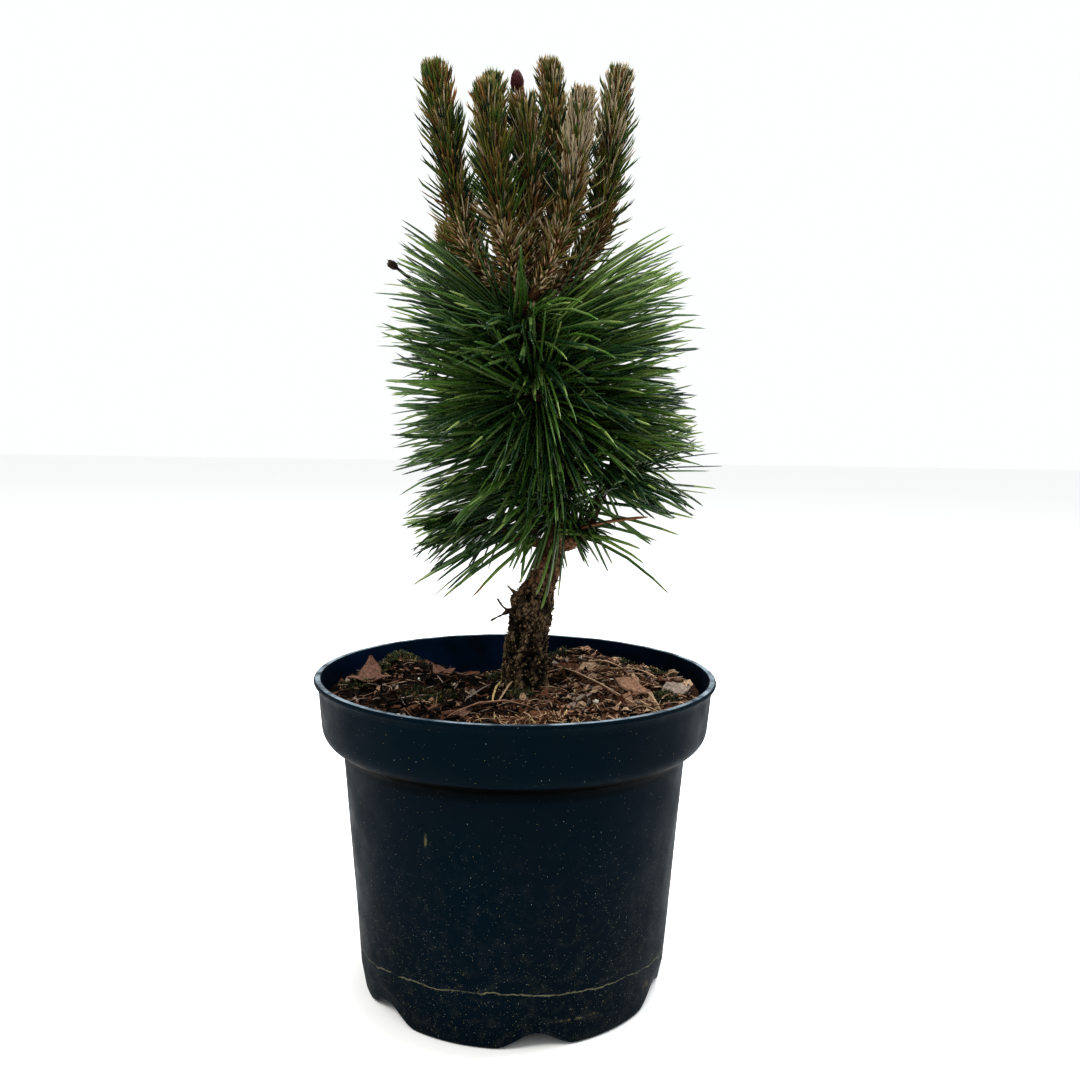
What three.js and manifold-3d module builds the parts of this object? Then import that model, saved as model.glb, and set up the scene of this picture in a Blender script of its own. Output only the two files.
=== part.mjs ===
// A young dwarf Austrian pine in a round nursery pot: pot, soil, trunk, boughs, masses of old
// needles and the upright new shoots. Millimetres, +Z up, the origin under the pot's centre,
// and the pot's front, seen in the photograph, towards -Y.

import * as THREE from "three";
import { mergeVertices } from "three/addons/utils/BufferGeometryUtils.js";
import Module from "manifold-3d";

const wasm = await Module();
wasm.setup();

// Driving dimensions
const RIM_RADIUS = 115;
const POT_HEIGHT = 180.6;
const BASE_RADIUS = 86.6;
const WALL = 2.4;
const COLLAR_HEIGHT = 39.4;
const FOOT_ARCHES = 6;
const ARCH_HEIGHT = 8;
const ARCH_HALF_ANGLE = THREE.MathUtils.degToRad(15);
const FIRST_ARCH_ANGLE = THREE.MathUtils.degToRad(-80);
const SOIL_LEVEL = 170;
const NEEDLE_LENGTH = 84;
const YOUNG_NEEDLE_LENGTH = 22;
const CLEARANCE = 0.3;
const LEAN_ALLOWANCE = 0.3;

// Colours, roughness and metalness of the finishes
const FINISHES = {
  pot: [0x0b1419, 0.45],
  soil: [0x3a2a20, 0.95],
  bark: [0x4a3a2e, 0.9],
  needles: [0x2c4a22, 0.5],
  shoots: [0x6b6a3c, 0.6],
};

// The stem's path from the soil to its fork, and its radius at each point
const STEM_POINTS = [
  [4.9, 0, SOIL_LEVEL + CLEARANCE, 14.2],
  [4.9, 0, 177, 12.8],
  [5.4, 0, 190, 12.3],
  [6.6, 0, 203, 12.2],
  [8.4, 0, 215, 12.3],
  [10.2, 0.5, 223, 11.4],
  [13.6, 1.2, 231, 8.6],
  [17.2, 1.8, 240, 7.3],
  [22.0, 2.6, 255, 6.0],
  [24.6, 3.0, 272, 5.6],
  [23.0, 3.0, 292, 5.4],
  [16.8, 2.4, 315, 5.2],
  [10.2, 1.6, 342, 5.0],
  [5.2, 0.8, 366, 5.0],
  [3.2, 0.2, 382, 5.6],
  [2.8, 0, 390, 5.6],
];
const FORK = { x: 2.8, y: 0, z: 390, radius: 7.4 };
const KNOB = { x: 2.6, y: -0.5, z: 222, radius: 6.4 };

// Boughs: where each leaves the stem, how far it reaches out and up, and its radii
const BOUGHS = {
  bough_low_right: { height: 254, azimuth: -22, reach: 22, rise: 32, thick: 3.8, thin: 2.9 },
  bough_low_left: { height: 255, azimuth: 166, reach: 30, rise: 8, thick: 3.0, thin: 2.3 },
};

// Masses of old needles round the stem: three tiers of sectors
const TIERS = [
  { name: "low", from: 262, to: 300, turn: 18, sprays: [3, 6, 6, 6, 4] },
  { name: "mid", from: 303, to: 344, turn: 44, sprays: [6, 6, 6, 6, 6, 6] },
  { name: "top", from: 347, to: 382, turn: 8, sprays: [6, 6, 6, 6, 6, 6] },
];
const SPRAY_NEEDLES = 4;
const SPRAY_SPREAD = 46;
const LOWEST_ELEVATION = -31;
const HIGHEST_ELEVATION = 40;
const ELEVATION_POWER = 1.1;
const NEEDLE = { width: 2.3, thick: 1.7, tip: 0.6 };
const NEEDLE_GAP = 0.35;
const CROWDED_SHARE = 0.25;
const MASS_STEM_RADIUS = 2.3;

// The masses at the boughs' tips fan out round a direction of their own
const BOUGH_MASSES = [
  { name: "needles_bough_right", bough: "bough_low_right", azimuth: -20, lift: 6, reach: 0.76 },
  { name: "needles_bough_left", bough: "bough_low_left", azimuth: 190, lift: -18, reach: 0.72 },
];

// New shoots: the direction in which each leaves the fork, and points on its way to its tip
const SHOOTS = [
  { azimuth: 180, lift: 30, path: [[-24.5, -2, 411], [-33.5, -2, 437], [-47.5, -2, 515.5]], full: 1 },
  { azimuth: 238, lift: 30, path: [[-7.5, -15, 419], [-12.5, -20, 447], [-19, -24, 497.5]], full: 1 },
  { azimuth: 118, lift: 30, path: [[-9, 17, 424], [-15, 24, 452], [-17.5, 30, 519]], full: 0.9 },
  { azimuth: 290, lift: 84, path: [[3.6, -5, 423], [5.2, -8, 452], [-1.5, -9, 502.5]], full: 0.95 },
  { azimuth: 62, lift: 30, path: [[14.5, 15, 425], [20.5, 23, 455], [14.6, 27, 525]], full: 1 },
  { azimuth: 302, lift: 30, path: [[20, -11, 420], [27, -17, 445], [32, -21, 497]], full: 1 },
  { azimuth: 0, lift: 30, path: [[27.5, 0, 408], [43.5, 1, 436], [52.5, 2, 513.5]], full: 1 },
  { azimuth: 149, lift: -14, path: [[-22, 20, 398], [-36.5, 34, 411], [-45, 44, 436]], full: 0.8 },
];
const SHOOT_SPRAYS = 8;
const SHOOT_SPRAY_NEEDLES = 3;
const SHOOT_SPRAY_SPREAD = 48;
const YOUNG_NEEDLE = { width: 2.4, thick: 1.5, tip: 0 };
const SHOOT_FOOT = 3;
const SHOOT_FOOT_RADIUS = 2.8;
const SHOOT_HEAD_RADIUS = 6.6;
const SHOOT_TIP_RADIUS = 3;
const CONE_SHOOT = 3;
const CONE_RADIUS = 3.7;
const CONE_LENGTH = 11.5;

// Small shared helpers
const GOLDEN = 0.6180339887;
const mix = (a, b, t) => a + (b - a) * t;
const smooth = (a, b, x) => THREE.MathUtils.smoothstep(x, a, b);

// A repeatable number from 0 to 1 for a seed and an index
function chance(seed, index) {
  const s = Math.sin(seed * 12.9898 + index * 78.233) * 43758.5453;
  return s - Math.floor(s);
}

// A curve through points of x, y, z, and the value in their fourth column at a share of it
function curveOf(points) {
  const places = points.map((p) => new THREE.Vector3(p[0], p[1], p[2]));
  return new THREE.CatmullRomCurve3(places, false, "catmullrom", 0.5);
}

function valueAt(points, share) {
  const place = share * (points.length - 1);
  const i = Math.min(Math.floor(place), points.length - 2);
  return mix(points[i][3], points[i + 1][3], place - i);
}

// A closed geometry as a solid, and back
function solidOf(geometry) {
  const bare = geometry.clone();
  for (const name of ["normal", "uv"]) bare.deleteAttribute(name);
  const merged = mergeVertices(bare, 1e-3);
  const mesh = new wasm.Mesh({
    numProp: 3,
    vertProperties: new Float32Array(merged.attributes.position.array),
    triVerts: new Uint32Array(merged.index.array),
  });
  return new wasm.Manifold(mesh);
}

function geometryOf(solid) {
  const pieces = solid.decompose();
  const largest = pieces.reduce((a, b) => (a.volume() > b.volume() ? a : b));
  const mesh = largest.getMesh();
  const geometry = new THREE.BufferGeometry();
  const positions = new THREE.BufferAttribute(new Float32Array(mesh.vertProperties), 3);
  geometry.setAttribute("position", positions);
  geometry.setIndex(new THREE.BufferAttribute(new Uint32Array(mesh.triVerts), 1));
  geometry.computeVertexNormals();
  return geometry;
}

// A tapering limb: a cylinder, or with a sharp tip a cone, whose rings are set along a curve
function limb(curve, radiusAt, sides, rings, sharp = false) {
  const geometry = new THREE.CylinderGeometry(sharp ? 0 : 1, 1, 1, sides, rings);
  const frames = curve.computeFrenetFrames(rings, false);
  const position = geometry.attributes.position;
  for (let i = 0; i < position.count; i++) {
    const share = position.getY(i) + 0.5;
    const ring = Math.round(share * rings);
    const across = new THREE.Vector2(position.getX(i), position.getZ(i));
    if (sharp && ring < rings) across.setLength(1);
    const radius = radiusAt(share);
    const place = curve.getPoint(share);
    place.addScaledVector(frames.normals[ring], across.x * radius);
    place.addScaledVector(frames.binormals[ring], -across.y * radius);
    position.setXYZ(i, place.x, place.y, place.z);
  }
  return geometry;
}

// A spray: needles that fan out in one plane from a root, as one toothed blade. Each tooth has
// its angle in degrees from the middle direction, and its length
function sprayBlade(root, out, side, teeth, size) {
  const turned = (far, angle) => {
    return new THREE.Vector2(Math.cos(angle), Math.sin(angle)).multiplyScalar(far);
  };
  const outline = [new THREE.Vector2(0, -size.width / 2)];
  teeth.forEach((tooth, k) => {
    const angle = THREE.MathUtils.degToRad(tooth.angle);
    const tip = turned(tooth.length, angle);
    const half = turned((size.width * size.tip) / 2, angle + Math.PI / 2);
    outline.push(tip.clone().sub(half));
    if (size.tip > 0) outline.push(tip.clone().add(half));
    if (k + 1 === teeth.length) return;
    const next = THREE.MathUtils.degToRad(teeth[k + 1].angle);
    outline.push(turned(size.width / (2 * Math.sin((next - angle) / 2)), (angle + next) / 2));
  });
  outline.push(new THREE.Vector2(0, size.width / 2));
  const depth = size.thick;
  const geometry = new THREE.ExtrudeGeometry(new THREE.Shape(outline), { depth, bevelEnabled: false });
  geometry.translate(0, 0, -depth / 2);
  const normal = out.clone().cross(side);
  geometry.applyMatrix4(new THREE.Matrix4().makeBasis(out, side, normal).setPosition(root));
  return geometry;
}

// The pot
const COLLAR_BOTTOM = POT_HEIGHT - COLLAR_HEIGHT;
const COLLAR_EDGE_HEIGHT = 12;
const COLLAR_LOW_RADIUS = RIM_RADIUS - 4.6;
const COLLAR_TOP_RADIUS = RIM_RADIUS - 2.5;
const WALL_TOP_RADIUS = 98.6;
const WALL_FOOT_RADIUS = BASE_RADIUS + 2.2;
const WALL_FOOT_HEIGHT = 14;
const LIP = 3;
const FLAT_CENTRE_RADIUS = 38;
const ARCH_FULL_RADIUS = 72;
const POT_SIDES = 48;
const DRAIN_RADIUS = 4.5;
const DRAIN_PLACE = BASE_RADIUS - 18;

// The height by which the arches lift a point of the pot's foot
function archLift(x, y, z) {
  const step = (2 * Math.PI) / FOOT_ARCHES;
  const angle = Math.atan2(y, x) - FIRST_ARCH_ANGLE;
  const off = Math.abs(angle - Math.round(angle / step) * step);
  if (off >= ARCH_HALF_ANGLE) return 0;
  const arch = Math.cos((0.5 * Math.PI * off) / ARCH_HALF_ANGLE) ** 2;
  const outward = smooth(FLAT_CENTRE_RADIUS, ARCH_FULL_RADIUS, Math.hypot(x, y));
  return ARCH_HEIGHT * arch * outward * (1 - smooth(WALL + 1, WALL_FOOT_HEIGHT + 10, z));
}

// The collar's lower edge from the wall outwards, in shares of its reach and of its height
const COLLAR_EDGE = [
  [0, 0],
  [0.5, 0.25],
  [0.76, 0.45],
  [0.93, 0.72],
  [1, 1],
];

// The collar's lower edge, set in from the outside by an amount
function collarEdge(inset) {
  const reach = COLLAR_LOW_RADIUS - WALL_TOP_RADIUS;
  return COLLAR_EDGE.map(([out, up]) => [
    WALL_TOP_RADIUS + reach * out - inset,
    COLLAR_BOTTOM + COLLAR_EDGE_HEIGHT * up + 0.4 * inset,
  ]);
}

function makePot() {
  const profile = [
    [0, 0],
    [FLAT_CENTRE_RADIUS, 0],
    [ARCH_FULL_RADIUS, 0],
    [BASE_RADIUS - 2.4, 0],
    [BASE_RADIUS, 2.4],
    [WALL_FOOT_RADIUS, WALL_FOOT_HEIGHT],
    ...collarEdge(0),
    [COLLAR_TOP_RADIUS, POT_HEIGHT - LIP - 0.6],
    [RIM_RADIUS, POT_HEIGHT - LIP],
    [RIM_RADIUS - 0.8, POT_HEIGHT],
    [COLLAR_TOP_RADIUS - WALL, POT_HEIGHT],
    ...collarEdge(WALL).reverse(),
    [WALL_FOOT_RADIUS - WALL, WALL_FOOT_HEIGHT],
    [BASE_RADIUS - 3.4, WALL],
    [ARCH_FULL_RADIUS, WALL],
    [FLAT_CENTRE_RADIUS, WALL],
    [0, WALL],
  ];
  const geometry = new THREE.LatheGeometry(
    profile.map(([r, z]) => new THREE.Vector2(r, z)),
    POT_SIDES,
  );
  geometry.rotateX(Math.PI / 2);
  geometry.rotateZ(FIRST_ARCH_ANGLE);
  const position = geometry.attributes.position;
  for (let i = 0; i < position.count; i++) {
    const [x, y, z] = [position.getX(i), position.getY(i), position.getZ(i)];
    position.setZ(i, z + archLift(x, y, z));
  }
  let pot = solidOf(geometry);
  for (let k = 0; k < FOOT_ARCHES; k++) {
    const angle = FIRST_ARCH_ANGLE + (k * 2 * Math.PI) / FOOT_ARCHES;
    const drain = new THREE.CylinderGeometry(DRAIN_RADIUS, DRAIN_RADIUS, 4 * ARCH_HEIGHT, 8);
    drain.rotateX(Math.PI / 2);
    drain.translate(DRAIN_PLACE * Math.cos(angle), DRAIN_PLACE * Math.sin(angle), 0);
    pot = pot.subtract(solidOf(drain));
  }
  return geometryOf(pot);
}

// The soil, whose top has low mounds and a flat patch for the trunk
const SOIL_SIDES = 30;
const SOIL_GAP = 0.4;
const SOIL_FOOT_RADIUS = BASE_RADIUS - 4.6;
const SOIL_RINGS = [108.1, 92, 74, 56, 38, 17];
const MOUNDS = [
  { x: -20, y: 84, reach: 26, height: -5 },
  { x: -62, y: 52, reach: 20, height: 5 },
  { x: 52, y: 8, reach: 34, height: 4 },
  { x: 24, y: 30, reach: 16, height: 3 },
  { x: -40, y: -50, reach: 34, height: -2 },
  { x: 30, y: -62, reach: 26, height: 2 },
];

function soilHeight(x, y) {
  const toTrunk = Math.hypot(x - STEM_POINTS[0][0], y - STEM_POINTS[0][1]);
  let height = SOIL_LEVEL - 2 * smooth(80, 108, Math.hypot(x, y));
  for (const m of MOUNDS) {
    const share = Math.hypot(x - m.x, y - m.y) / m.reach;
    height += m.height * Math.exp(-share * share);
  }
  return mix(SOIL_LEVEL, height, smooth(17, 30, toTrunk));
}

function makeSoil() {
  const bottom = WALL + ARCH_HEIGHT + SOIL_GAP;
  const inner = WALL + SOIL_GAP;
  const profile = [
    [0, bottom],
    [SOIL_FOOT_RADIUS, bottom],
    ...collarEdge(inner).map(([r, z]) => [r, z + SOIL_GAP]),
    ...SOIL_RINGS.map((r) => [r, SOIL_LEVEL]),
    [0, SOIL_LEVEL],
  ];
  const geometry = new THREE.LatheGeometry(
    profile.map(([r, z]) => new THREE.Vector2(r, z)),
    SOIL_SIDES,
  );
  geometry.rotateX(Math.PI / 2);
  const position = geometry.attributes.position;
  for (let i = 0; i < position.count; i++) {
    const [x, y, z] = [position.getX(i), position.getY(i), position.getZ(i)];
    if (z > SOIL_LEVEL - 1) position.setZ(i, soilHeight(x, y));
  }
  return geometryOf(solidOf(geometry));
}

// A direction from its azimuth and its elevation in degrees
function unit(azimuth, elevation) {
  const [a, e] = [azimuth, elevation].map(THREE.MathUtils.degToRad);
  return new THREE.Vector3(Math.cos(a) * Math.cos(e), Math.sin(a) * Math.cos(e), Math.sin(e));
}

// Capsules of everything placed so far, so that no solid comes within reach of another node's
const placed = [];

function keepClear(node, curve, radiusAt, steps) {
  for (let i = 0; i < steps; i++) {
    const [from, to] = [curve.getPoint(i / steps), curve.getPoint((i + 1) / steps)];
    placed.push({ node, from, to, radius: Math.max(radiusAt(i / steps), radiusAt((i + 1) / steps)) });
  }
}

// The least distance between two straight stretches
function gapBetween(a, b) {
  const d1 = b.to.clone().sub(b.from);
  const d2 = a.to.clone().sub(a.from);
  const r = b.from.clone().sub(a.from);
  const [aa, ee, ff] = [d1.dot(d1), d2.dot(d2), d2.dot(r)];
  const [cc, bb] = [d1.dot(r), d1.dot(d2)];
  const denom = aa * ee - bb * bb;
  let s = denom > 1e-9 ? THREE.MathUtils.clamp((bb * ff - cc * ee) / denom, 0, 1) : 0;
  let t = (bb * s + ff) / ee;
  if (t < 0) {
    t = 0;
    s = THREE.MathUtils.clamp(-cc / aa, 0, 1);
  } else if (t > 1) {
    t = 1;
    s = THREE.MathUtils.clamp((bb - cc) / aa, 0, 1);
  }
  const near1 = b.from.clone().addScaledVector(d1, s);
  const near2 = a.from.clone().addScaledVector(d2, t);
  return near1.distanceTo(near2) - a.radius - b.radius;
}

// A spray's teeth that stay clear of other nodes' solids, and past their crowded roots of the
// other teeth on their own node
function clearTeeth(node, spray, size) {
  const radius = 0.55 * size.width;
  const kept = spray.teeth.filter((tooth) => {
    const angle = THREE.MathUtils.degToRad(tooth.angle);
    const way = spray.out.clone().multiplyScalar(Math.cos(angle));
    way.addScaledVector(spray.side, Math.sin(angle));
    tooth.from = spray.root;
    tooth.to = spray.root.clone().addScaledVector(way, tooth.length);
    const outer = spray.root.clone().addScaledVector(way, CROWDED_SHARE * tooth.length);
    return placed.every((other) => {
      if (other.node !== node) return gapBetween(other, { ...tooth, radius }) >= NEEDLE_GAP;
      return !other.isTooth || gapBetween(other, { from: outer, to: tooth.to, radius }) >= 0;
    });
  });
  for (const tooth of kept) placed.push({ ...tooth, node, radius, isTooth: true });
  return kept;
}

// The trunk, from its flat foot to the swollen fork under the new shoots
const stem = curveOf(STEM_POINTS);
const stemRadius = (share) => valueAt(STEM_POINTS, share);

// The share of the stem at which it passes a height
function stemShareAt(height) {
  let [low, high] = [0, 1];
  for (let i = 0; i < 30; i++) {
    const middle = (low + high) / 2;
    if (stem.getPoint(middle).z < height) low = middle;
    else high = middle;
  }
  return low;
}

const BARK_SWELL = 0.03;
const trunkRadius = (share) => stemRadius(share) * (1 + BARK_SWELL * Math.sin(share * 70));
const trunkReach = (share) => stemRadius(share) * (1 + BARK_SWELL);
const SPURS = [
  [[-1, 0, 216], [-6.6, -1, 217.5], [-11.2, -2, 223.5]],
  [[-4, 0, 216.5], [-9, -1, 213.5], [-15, -2, 210.5]],
  [[0, -1, 226], [-3.5, -1.5, 229], [-5.5, -2, 231.5]],
];

function makeTrunk() {
  const main = limb(stem, trunkRadius, 10, 26);
  const position = main.attributes.position;
  const foot = SOIL_LEVEL + CLEARANCE;
  for (let i = 0; i < position.count; i++) {
    if (position.getZ(i) < foot + 1.5) position.setZ(i, foot);
  }
  keepClear("trunk", stem, trunkReach, 24);
  const top = stem.getPoint(1);
  placed.push({ node: "trunk", from: top, to: top.clone().setZ(top.z + 0.1), radius: FORK.radius });
  const knob = new THREE.SphereGeometry(KNOB.radius, 8, 6).translate(KNOB.x, KNOB.y, KNOB.z);
  const fork = new THREE.SphereGeometry(FORK.radius, 12, 8).translate(FORK.x, FORK.y, FORK.z);
  let trunk = solidOf(main).add(solidOf(knob)).add(solidOf(fork));
  for (const points of SPURS) {
    const curve = curveOf(points);
    const radius = (share) => mix(1.7, 0.5, share);
    trunk = trunk.add(solidOf(limb(curve, radius, 4, 2, true)));
    keepClear("trunk", curve, radius, 2);
  }
  return geometryOf(trunk);
}

// A bough's own line, which leaves the stem level and bends upwards
function boughLine(bough) {
  const share = stemShareAt(bough.height);
  const out = unit(bough.azimuth, 0);
  const start = stem.getPoint(share);
  start.addScaledVector(out, trunkReach(share) + CLEARANCE + LEAN_ALLOWANCE);
  const bend = start.clone().addScaledVector(out, 0.6 * bough.reach);
  const tip = start.clone().addScaledVector(out, bough.reach);
  tip.z += bough.rise;
  return new THREE.QuadraticBezierCurve3(start, bend, tip);
}

for (const bough of Object.values(BOUGHS)) bough.line = boughLine(bough);

function makeBough(name) {
  const bough = BOUGHS[name];
  const radius = (share) => mix(bough.thick, bough.thin, share);
  keepClear(name, bough.line, radius, 6);
  return geometryOf(solidOf(limb(bough.line, radius, 7, 6)));
}

// Old needles: the rule for one spray of a mass, by its number out of a count
function oldSpray(mass, index, count) {
  const share = (index + 0.5) / count;
  const azimuth = mass.azimuth + 0.7 * mass.width * (((index * GOLDEN) % 1) - 0.5);
  const root = mass.line.getPoint(mix(0.03, 0.97, share));
  const rise = (root.z - TIERS[0].from) / (TIERS[2].to - TIERS[0].from);
  const lean = THREE.MathUtils.clamp(rise, 0, 1) ** ELEVATION_POWER;
  let elevation = mix(LOWEST_ELEVATION, HIGHEST_ELEVATION, lean);
  if (elevation < 0) elevation *= 0.75 - 0.25 * Math.cos(THREE.MathUtils.degToRad(azimuth));
  elevation = elevation * mass.tilt + mass.lift + mass.scatter * (chance(mass.seed + 1, index) - 0.5);
  const out = unit(azimuth, elevation);
  const level = unit(azimuth + 90, 0);
  const roll = Math.PI * chance(mass.seed + 3, index);
  const side = level.clone().multiplyScalar(Math.cos(roll));
  side.addScaledVector(out.clone().cross(level), Math.sin(roll));
  const teeth = [];
  for (let k = 0; k < SPRAY_NEEDLES; k++) {
    const reach = mix(0.8, 1.03, chance(mass.seed + 2, SPRAY_NEEDLES * index + k));
    const angle = SPRAY_SPREAD * (k / (SPRAY_NEEDLES - 1) - 0.5);
    teeth.push({ angle, length: NEEDLE_LENGTH * mass.reach * reach });
  }
  return { root, out, side, teeth };
}

// A line beside the stem, clear of it, that a mass's needles stand on
function lineBesideStem(azimuth, from, to) {
  const count = 5;
  const points = [];
  for (let i = 0; i < count; i++) {
    const share = stemShareAt(mix(from, to, i / (count - 1)));
    const place = stem.getPoint(share);
    const away = trunkReach(share) + CLEARANCE + MASS_STEM_RADIUS;
    points.push(place.addScaledVector(unit(azimuth, 0), away).toArray());
  }
  return curveOf(points);
}

// The needles above the low tier reach a little further on the right
const RIGHT_REACH = 1.07;

function reachTowards(azimuth, tier) {
  if (tier === TIERS[0]) return 1;
  return mix(1, RIGHT_REACH, smooth(0.2, 0.9, Math.cos(THREE.MathUtils.degToRad(azimuth))));
}

const masses = [];
TIERS.forEach((tier, k) => {
  const sectors = tier.sprays.length;
  for (let j = 0; j < sectors; j++) {
    const azimuth = tier.turn + (360 * j) / sectors;
    masses.push({
      name: `needles_${tier.name}_${j + 1}`,
      azimuth,
      width: 360 / sectors,
      line: lineBesideStem(azimuth, tier.from, tier.to),
      seed: 10 * k + j + 1,
      sprays: tier.sprays[j],
      scatter: 16,
      tilt: 1,
      lift: 0,
      reach: reachTowards(azimuth, tier),
    });
  }
});

BOUGH_MASSES.forEach((mass, k) => {
  const bough = BOUGHS[mass.bough];
  const out = bough.line.getTangent(1);
  const points = [CLEARANCE + 0.1, 9, 18].map((far) => {
    return bough.line.getPoint(1).addScaledVector(out, far).toArray();
  });
  const line = curveOf(points);
  masses.push({ ...mass, line, seed: 61 + k, sprays: 5, width: 150, scatter: 60, tilt: 0.35 });
});

// A mass's sprays are added to its stem, one spray of each mass at a time
function makeMasses() {
  const solids = new Map();
  const radiusOnStem = () => MASS_STEM_RADIUS;
  for (const mass of masses) {
    keepClear(mass.name, mass.line, radiusOnStem, 4);
    solids.set(mass.name, solidOf(limb(mass.line, radiusOnStem, 6, 3)));
  }
  const most = Math.max(...masses.map((mass) => mass.sprays));
  for (let index = 0; index < most; index++) {
    for (const mass of masses) {
      if (index >= mass.sprays) continue;
      const spray = oldSpray(mass, index, mass.sprays);
      const teeth = clearTeeth(mass.name, spray, NEEDLE);
      if (!teeth.length) continue;
      const blade = sprayBlade(spray.root, spray.out, spray.side, teeth, NEEDLE);
      solids.set(mass.name, solids.get(mass.name).add(solidOf(blade)));
    }
  }
  return solids;
}

// New shoots: the core's radius, and the rule for one spray, by its number out of a count
function shootRadius(share) {
  const head = mix(SHOOT_FOOT_RADIUS, SHOOT_HEAD_RADIUS, smooth(0.3, 0.7, share));
  return mix(head, SHOOT_TIP_RADIUS, smooth(0.75, 1, share));
}

function youngSpray(shoot, index, count) {
  const along = mix(0.08, 1, (index + 0.75) / count);
  const root = shoot.curve.getPoint(along);
  const axis = shoot.curve.getTangent(along);
  const first = new THREE.Vector3(1, 0, 0).cross(axis).normalize();
  const second = axis.clone().cross(first);
  const turn = 2 * Math.PI * index * GOLDEN;
  const away = first.multiplyScalar(Math.cos(turn)).addScaledVector(second, Math.sin(turn));
  const open = THREE.MathUtils.degToRad(mix(52, 16, along) + 10 * (chance(shoot.seed, index) - 0.5));
  const growth = along < 0.45 ? mix(0.5, 1, along / 0.45) : mix(1, 0.66, (along - 0.45) / 0.55);
  const out = axis.clone().multiplyScalar(Math.cos(open)).addScaledVector(away, Math.sin(open));
  const side = axis.clone().cross(away).normalize();
  root.addScaledVector(away, 0.4 * shootRadius(along));
  const teeth = [];
  for (let k = 0; k < SHOOT_SPRAY_NEEDLES; k++) {
    const reach = mix(0.9, 1.12, chance(shoot.seed + 1, SHOOT_SPRAY_NEEDLES * index + k));
    const angle = SHOOT_SPRAY_SPREAD * (k / (SHOOT_SPRAY_NEEDLES - 1) - 0.5);
    teeth.push({ angle, length: YOUNG_NEEDLE_LENGTH * growth * shoot.full * reach });
  }
  return { root, out, side, teeth };
}

SHOOTS.forEach((shoot, k) => {
  const out = unit(shoot.azimuth, shoot.lift);
  const fork = new THREE.Vector3(FORK.x, FORK.y, FORK.z);
  const foot = [0, SHOOT_FOOT].map((far) => {
    return fork.clone().addScaledVector(out, FORK.radius + CLEARANCE + far).toArray();
  });
  shoot.name = `shoot_${k + 1}`;
  shoot.seed = 101 + 3 * k;
  shoot.curve = curveOf([...foot, ...shoot.path]);
});

function makeShoots() {
  const solids = new Map();
  for (const shoot of SHOOTS) {
    keepClear(shoot.name, shoot.curve, shootRadius, 10);
    solids.set(shoot.name, solidOf(limb(shoot.curve, shootRadius, 6, 6)));
  }
  for (let index = 0; index < SHOOT_SPRAYS; index++) {
    for (const shoot of SHOOTS) {
      const spray = youngSpray(shoot, index, SHOOT_SPRAYS);
      const teeth = clearTeeth(shoot.name, spray, YOUNG_NEEDLE);
      if (!teeth.length) continue;
      const blade = sprayBlade(spray.root, spray.out, spray.side, teeth, YOUNG_NEEDLE);
      solids.set(shoot.name, solids.get(shoot.name).add(solidOf(blade)));
    }
  }
  const carrier = SHOOTS[CONE_SHOOT];
  const tip = carrier.curve.getPoint(1);
  const cone = new THREE.SphereGeometry(CONE_RADIUS, 8, 6).rotateX(Math.PI / 2);
  cone.scale(1, 1, CONE_LENGTH / 2 / CONE_RADIUS);
  cone.translate(tip.x, tip.y, tip.z + CONE_LENGTH / 2 - 2);
  solids.set(carrier.name, solids.get(carrier.name).add(solidOf(cone)));
  return solids;
}

// The assembly
const plant = new THREE.Group();

function addNode(name, geometry, finish) {
  const [color, roughness] = FINISHES[finish];
  const material = new THREE.MeshStandardMaterial({ color, roughness, metalness: 0 });
  const mesh = new THREE.Mesh(geometry, material);
  mesh.name = name;
  plant.add(mesh);
}

addNode("pot", makePot(), "pot");
addNode("soil", makeSoil(), "soil");
addNode("trunk", makeTrunk(), "bark");
for (const name of Object.keys(BOUGHS)) addNode(name, makeBough(name), "bark");
const shootSolids = makeShoots();
for (const [name, solid] of makeMasses()) addNode(name, geometryOf(solid), "needles");
for (const [name, solid] of shootSolids) addNode(name, geometryOf(solid), "shoots");

export default plant;
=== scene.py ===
import math

import bpy
import numpy as np
from mathutils import Matrix


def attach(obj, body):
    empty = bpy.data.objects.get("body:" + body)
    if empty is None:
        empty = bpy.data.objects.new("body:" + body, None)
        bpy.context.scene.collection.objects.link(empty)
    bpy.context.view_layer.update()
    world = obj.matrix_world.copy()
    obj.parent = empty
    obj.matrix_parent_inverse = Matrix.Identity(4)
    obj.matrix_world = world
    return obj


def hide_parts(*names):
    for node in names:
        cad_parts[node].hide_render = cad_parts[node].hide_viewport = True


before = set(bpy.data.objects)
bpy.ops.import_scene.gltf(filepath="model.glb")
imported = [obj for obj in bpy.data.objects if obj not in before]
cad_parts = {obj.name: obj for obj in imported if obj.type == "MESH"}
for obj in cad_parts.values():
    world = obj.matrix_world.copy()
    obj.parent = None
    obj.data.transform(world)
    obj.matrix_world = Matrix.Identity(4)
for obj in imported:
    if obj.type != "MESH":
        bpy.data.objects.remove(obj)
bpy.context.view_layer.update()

MM = 0.001

# The share of a turn by which things follow one another round a stem, and turns in radians
GOLDEN = 0.6180339887
FULL_TURN = 2 * np.pi
NEARLY_A_TURN = 6.28
UP = np.array([0, 0, 1.0])

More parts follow.
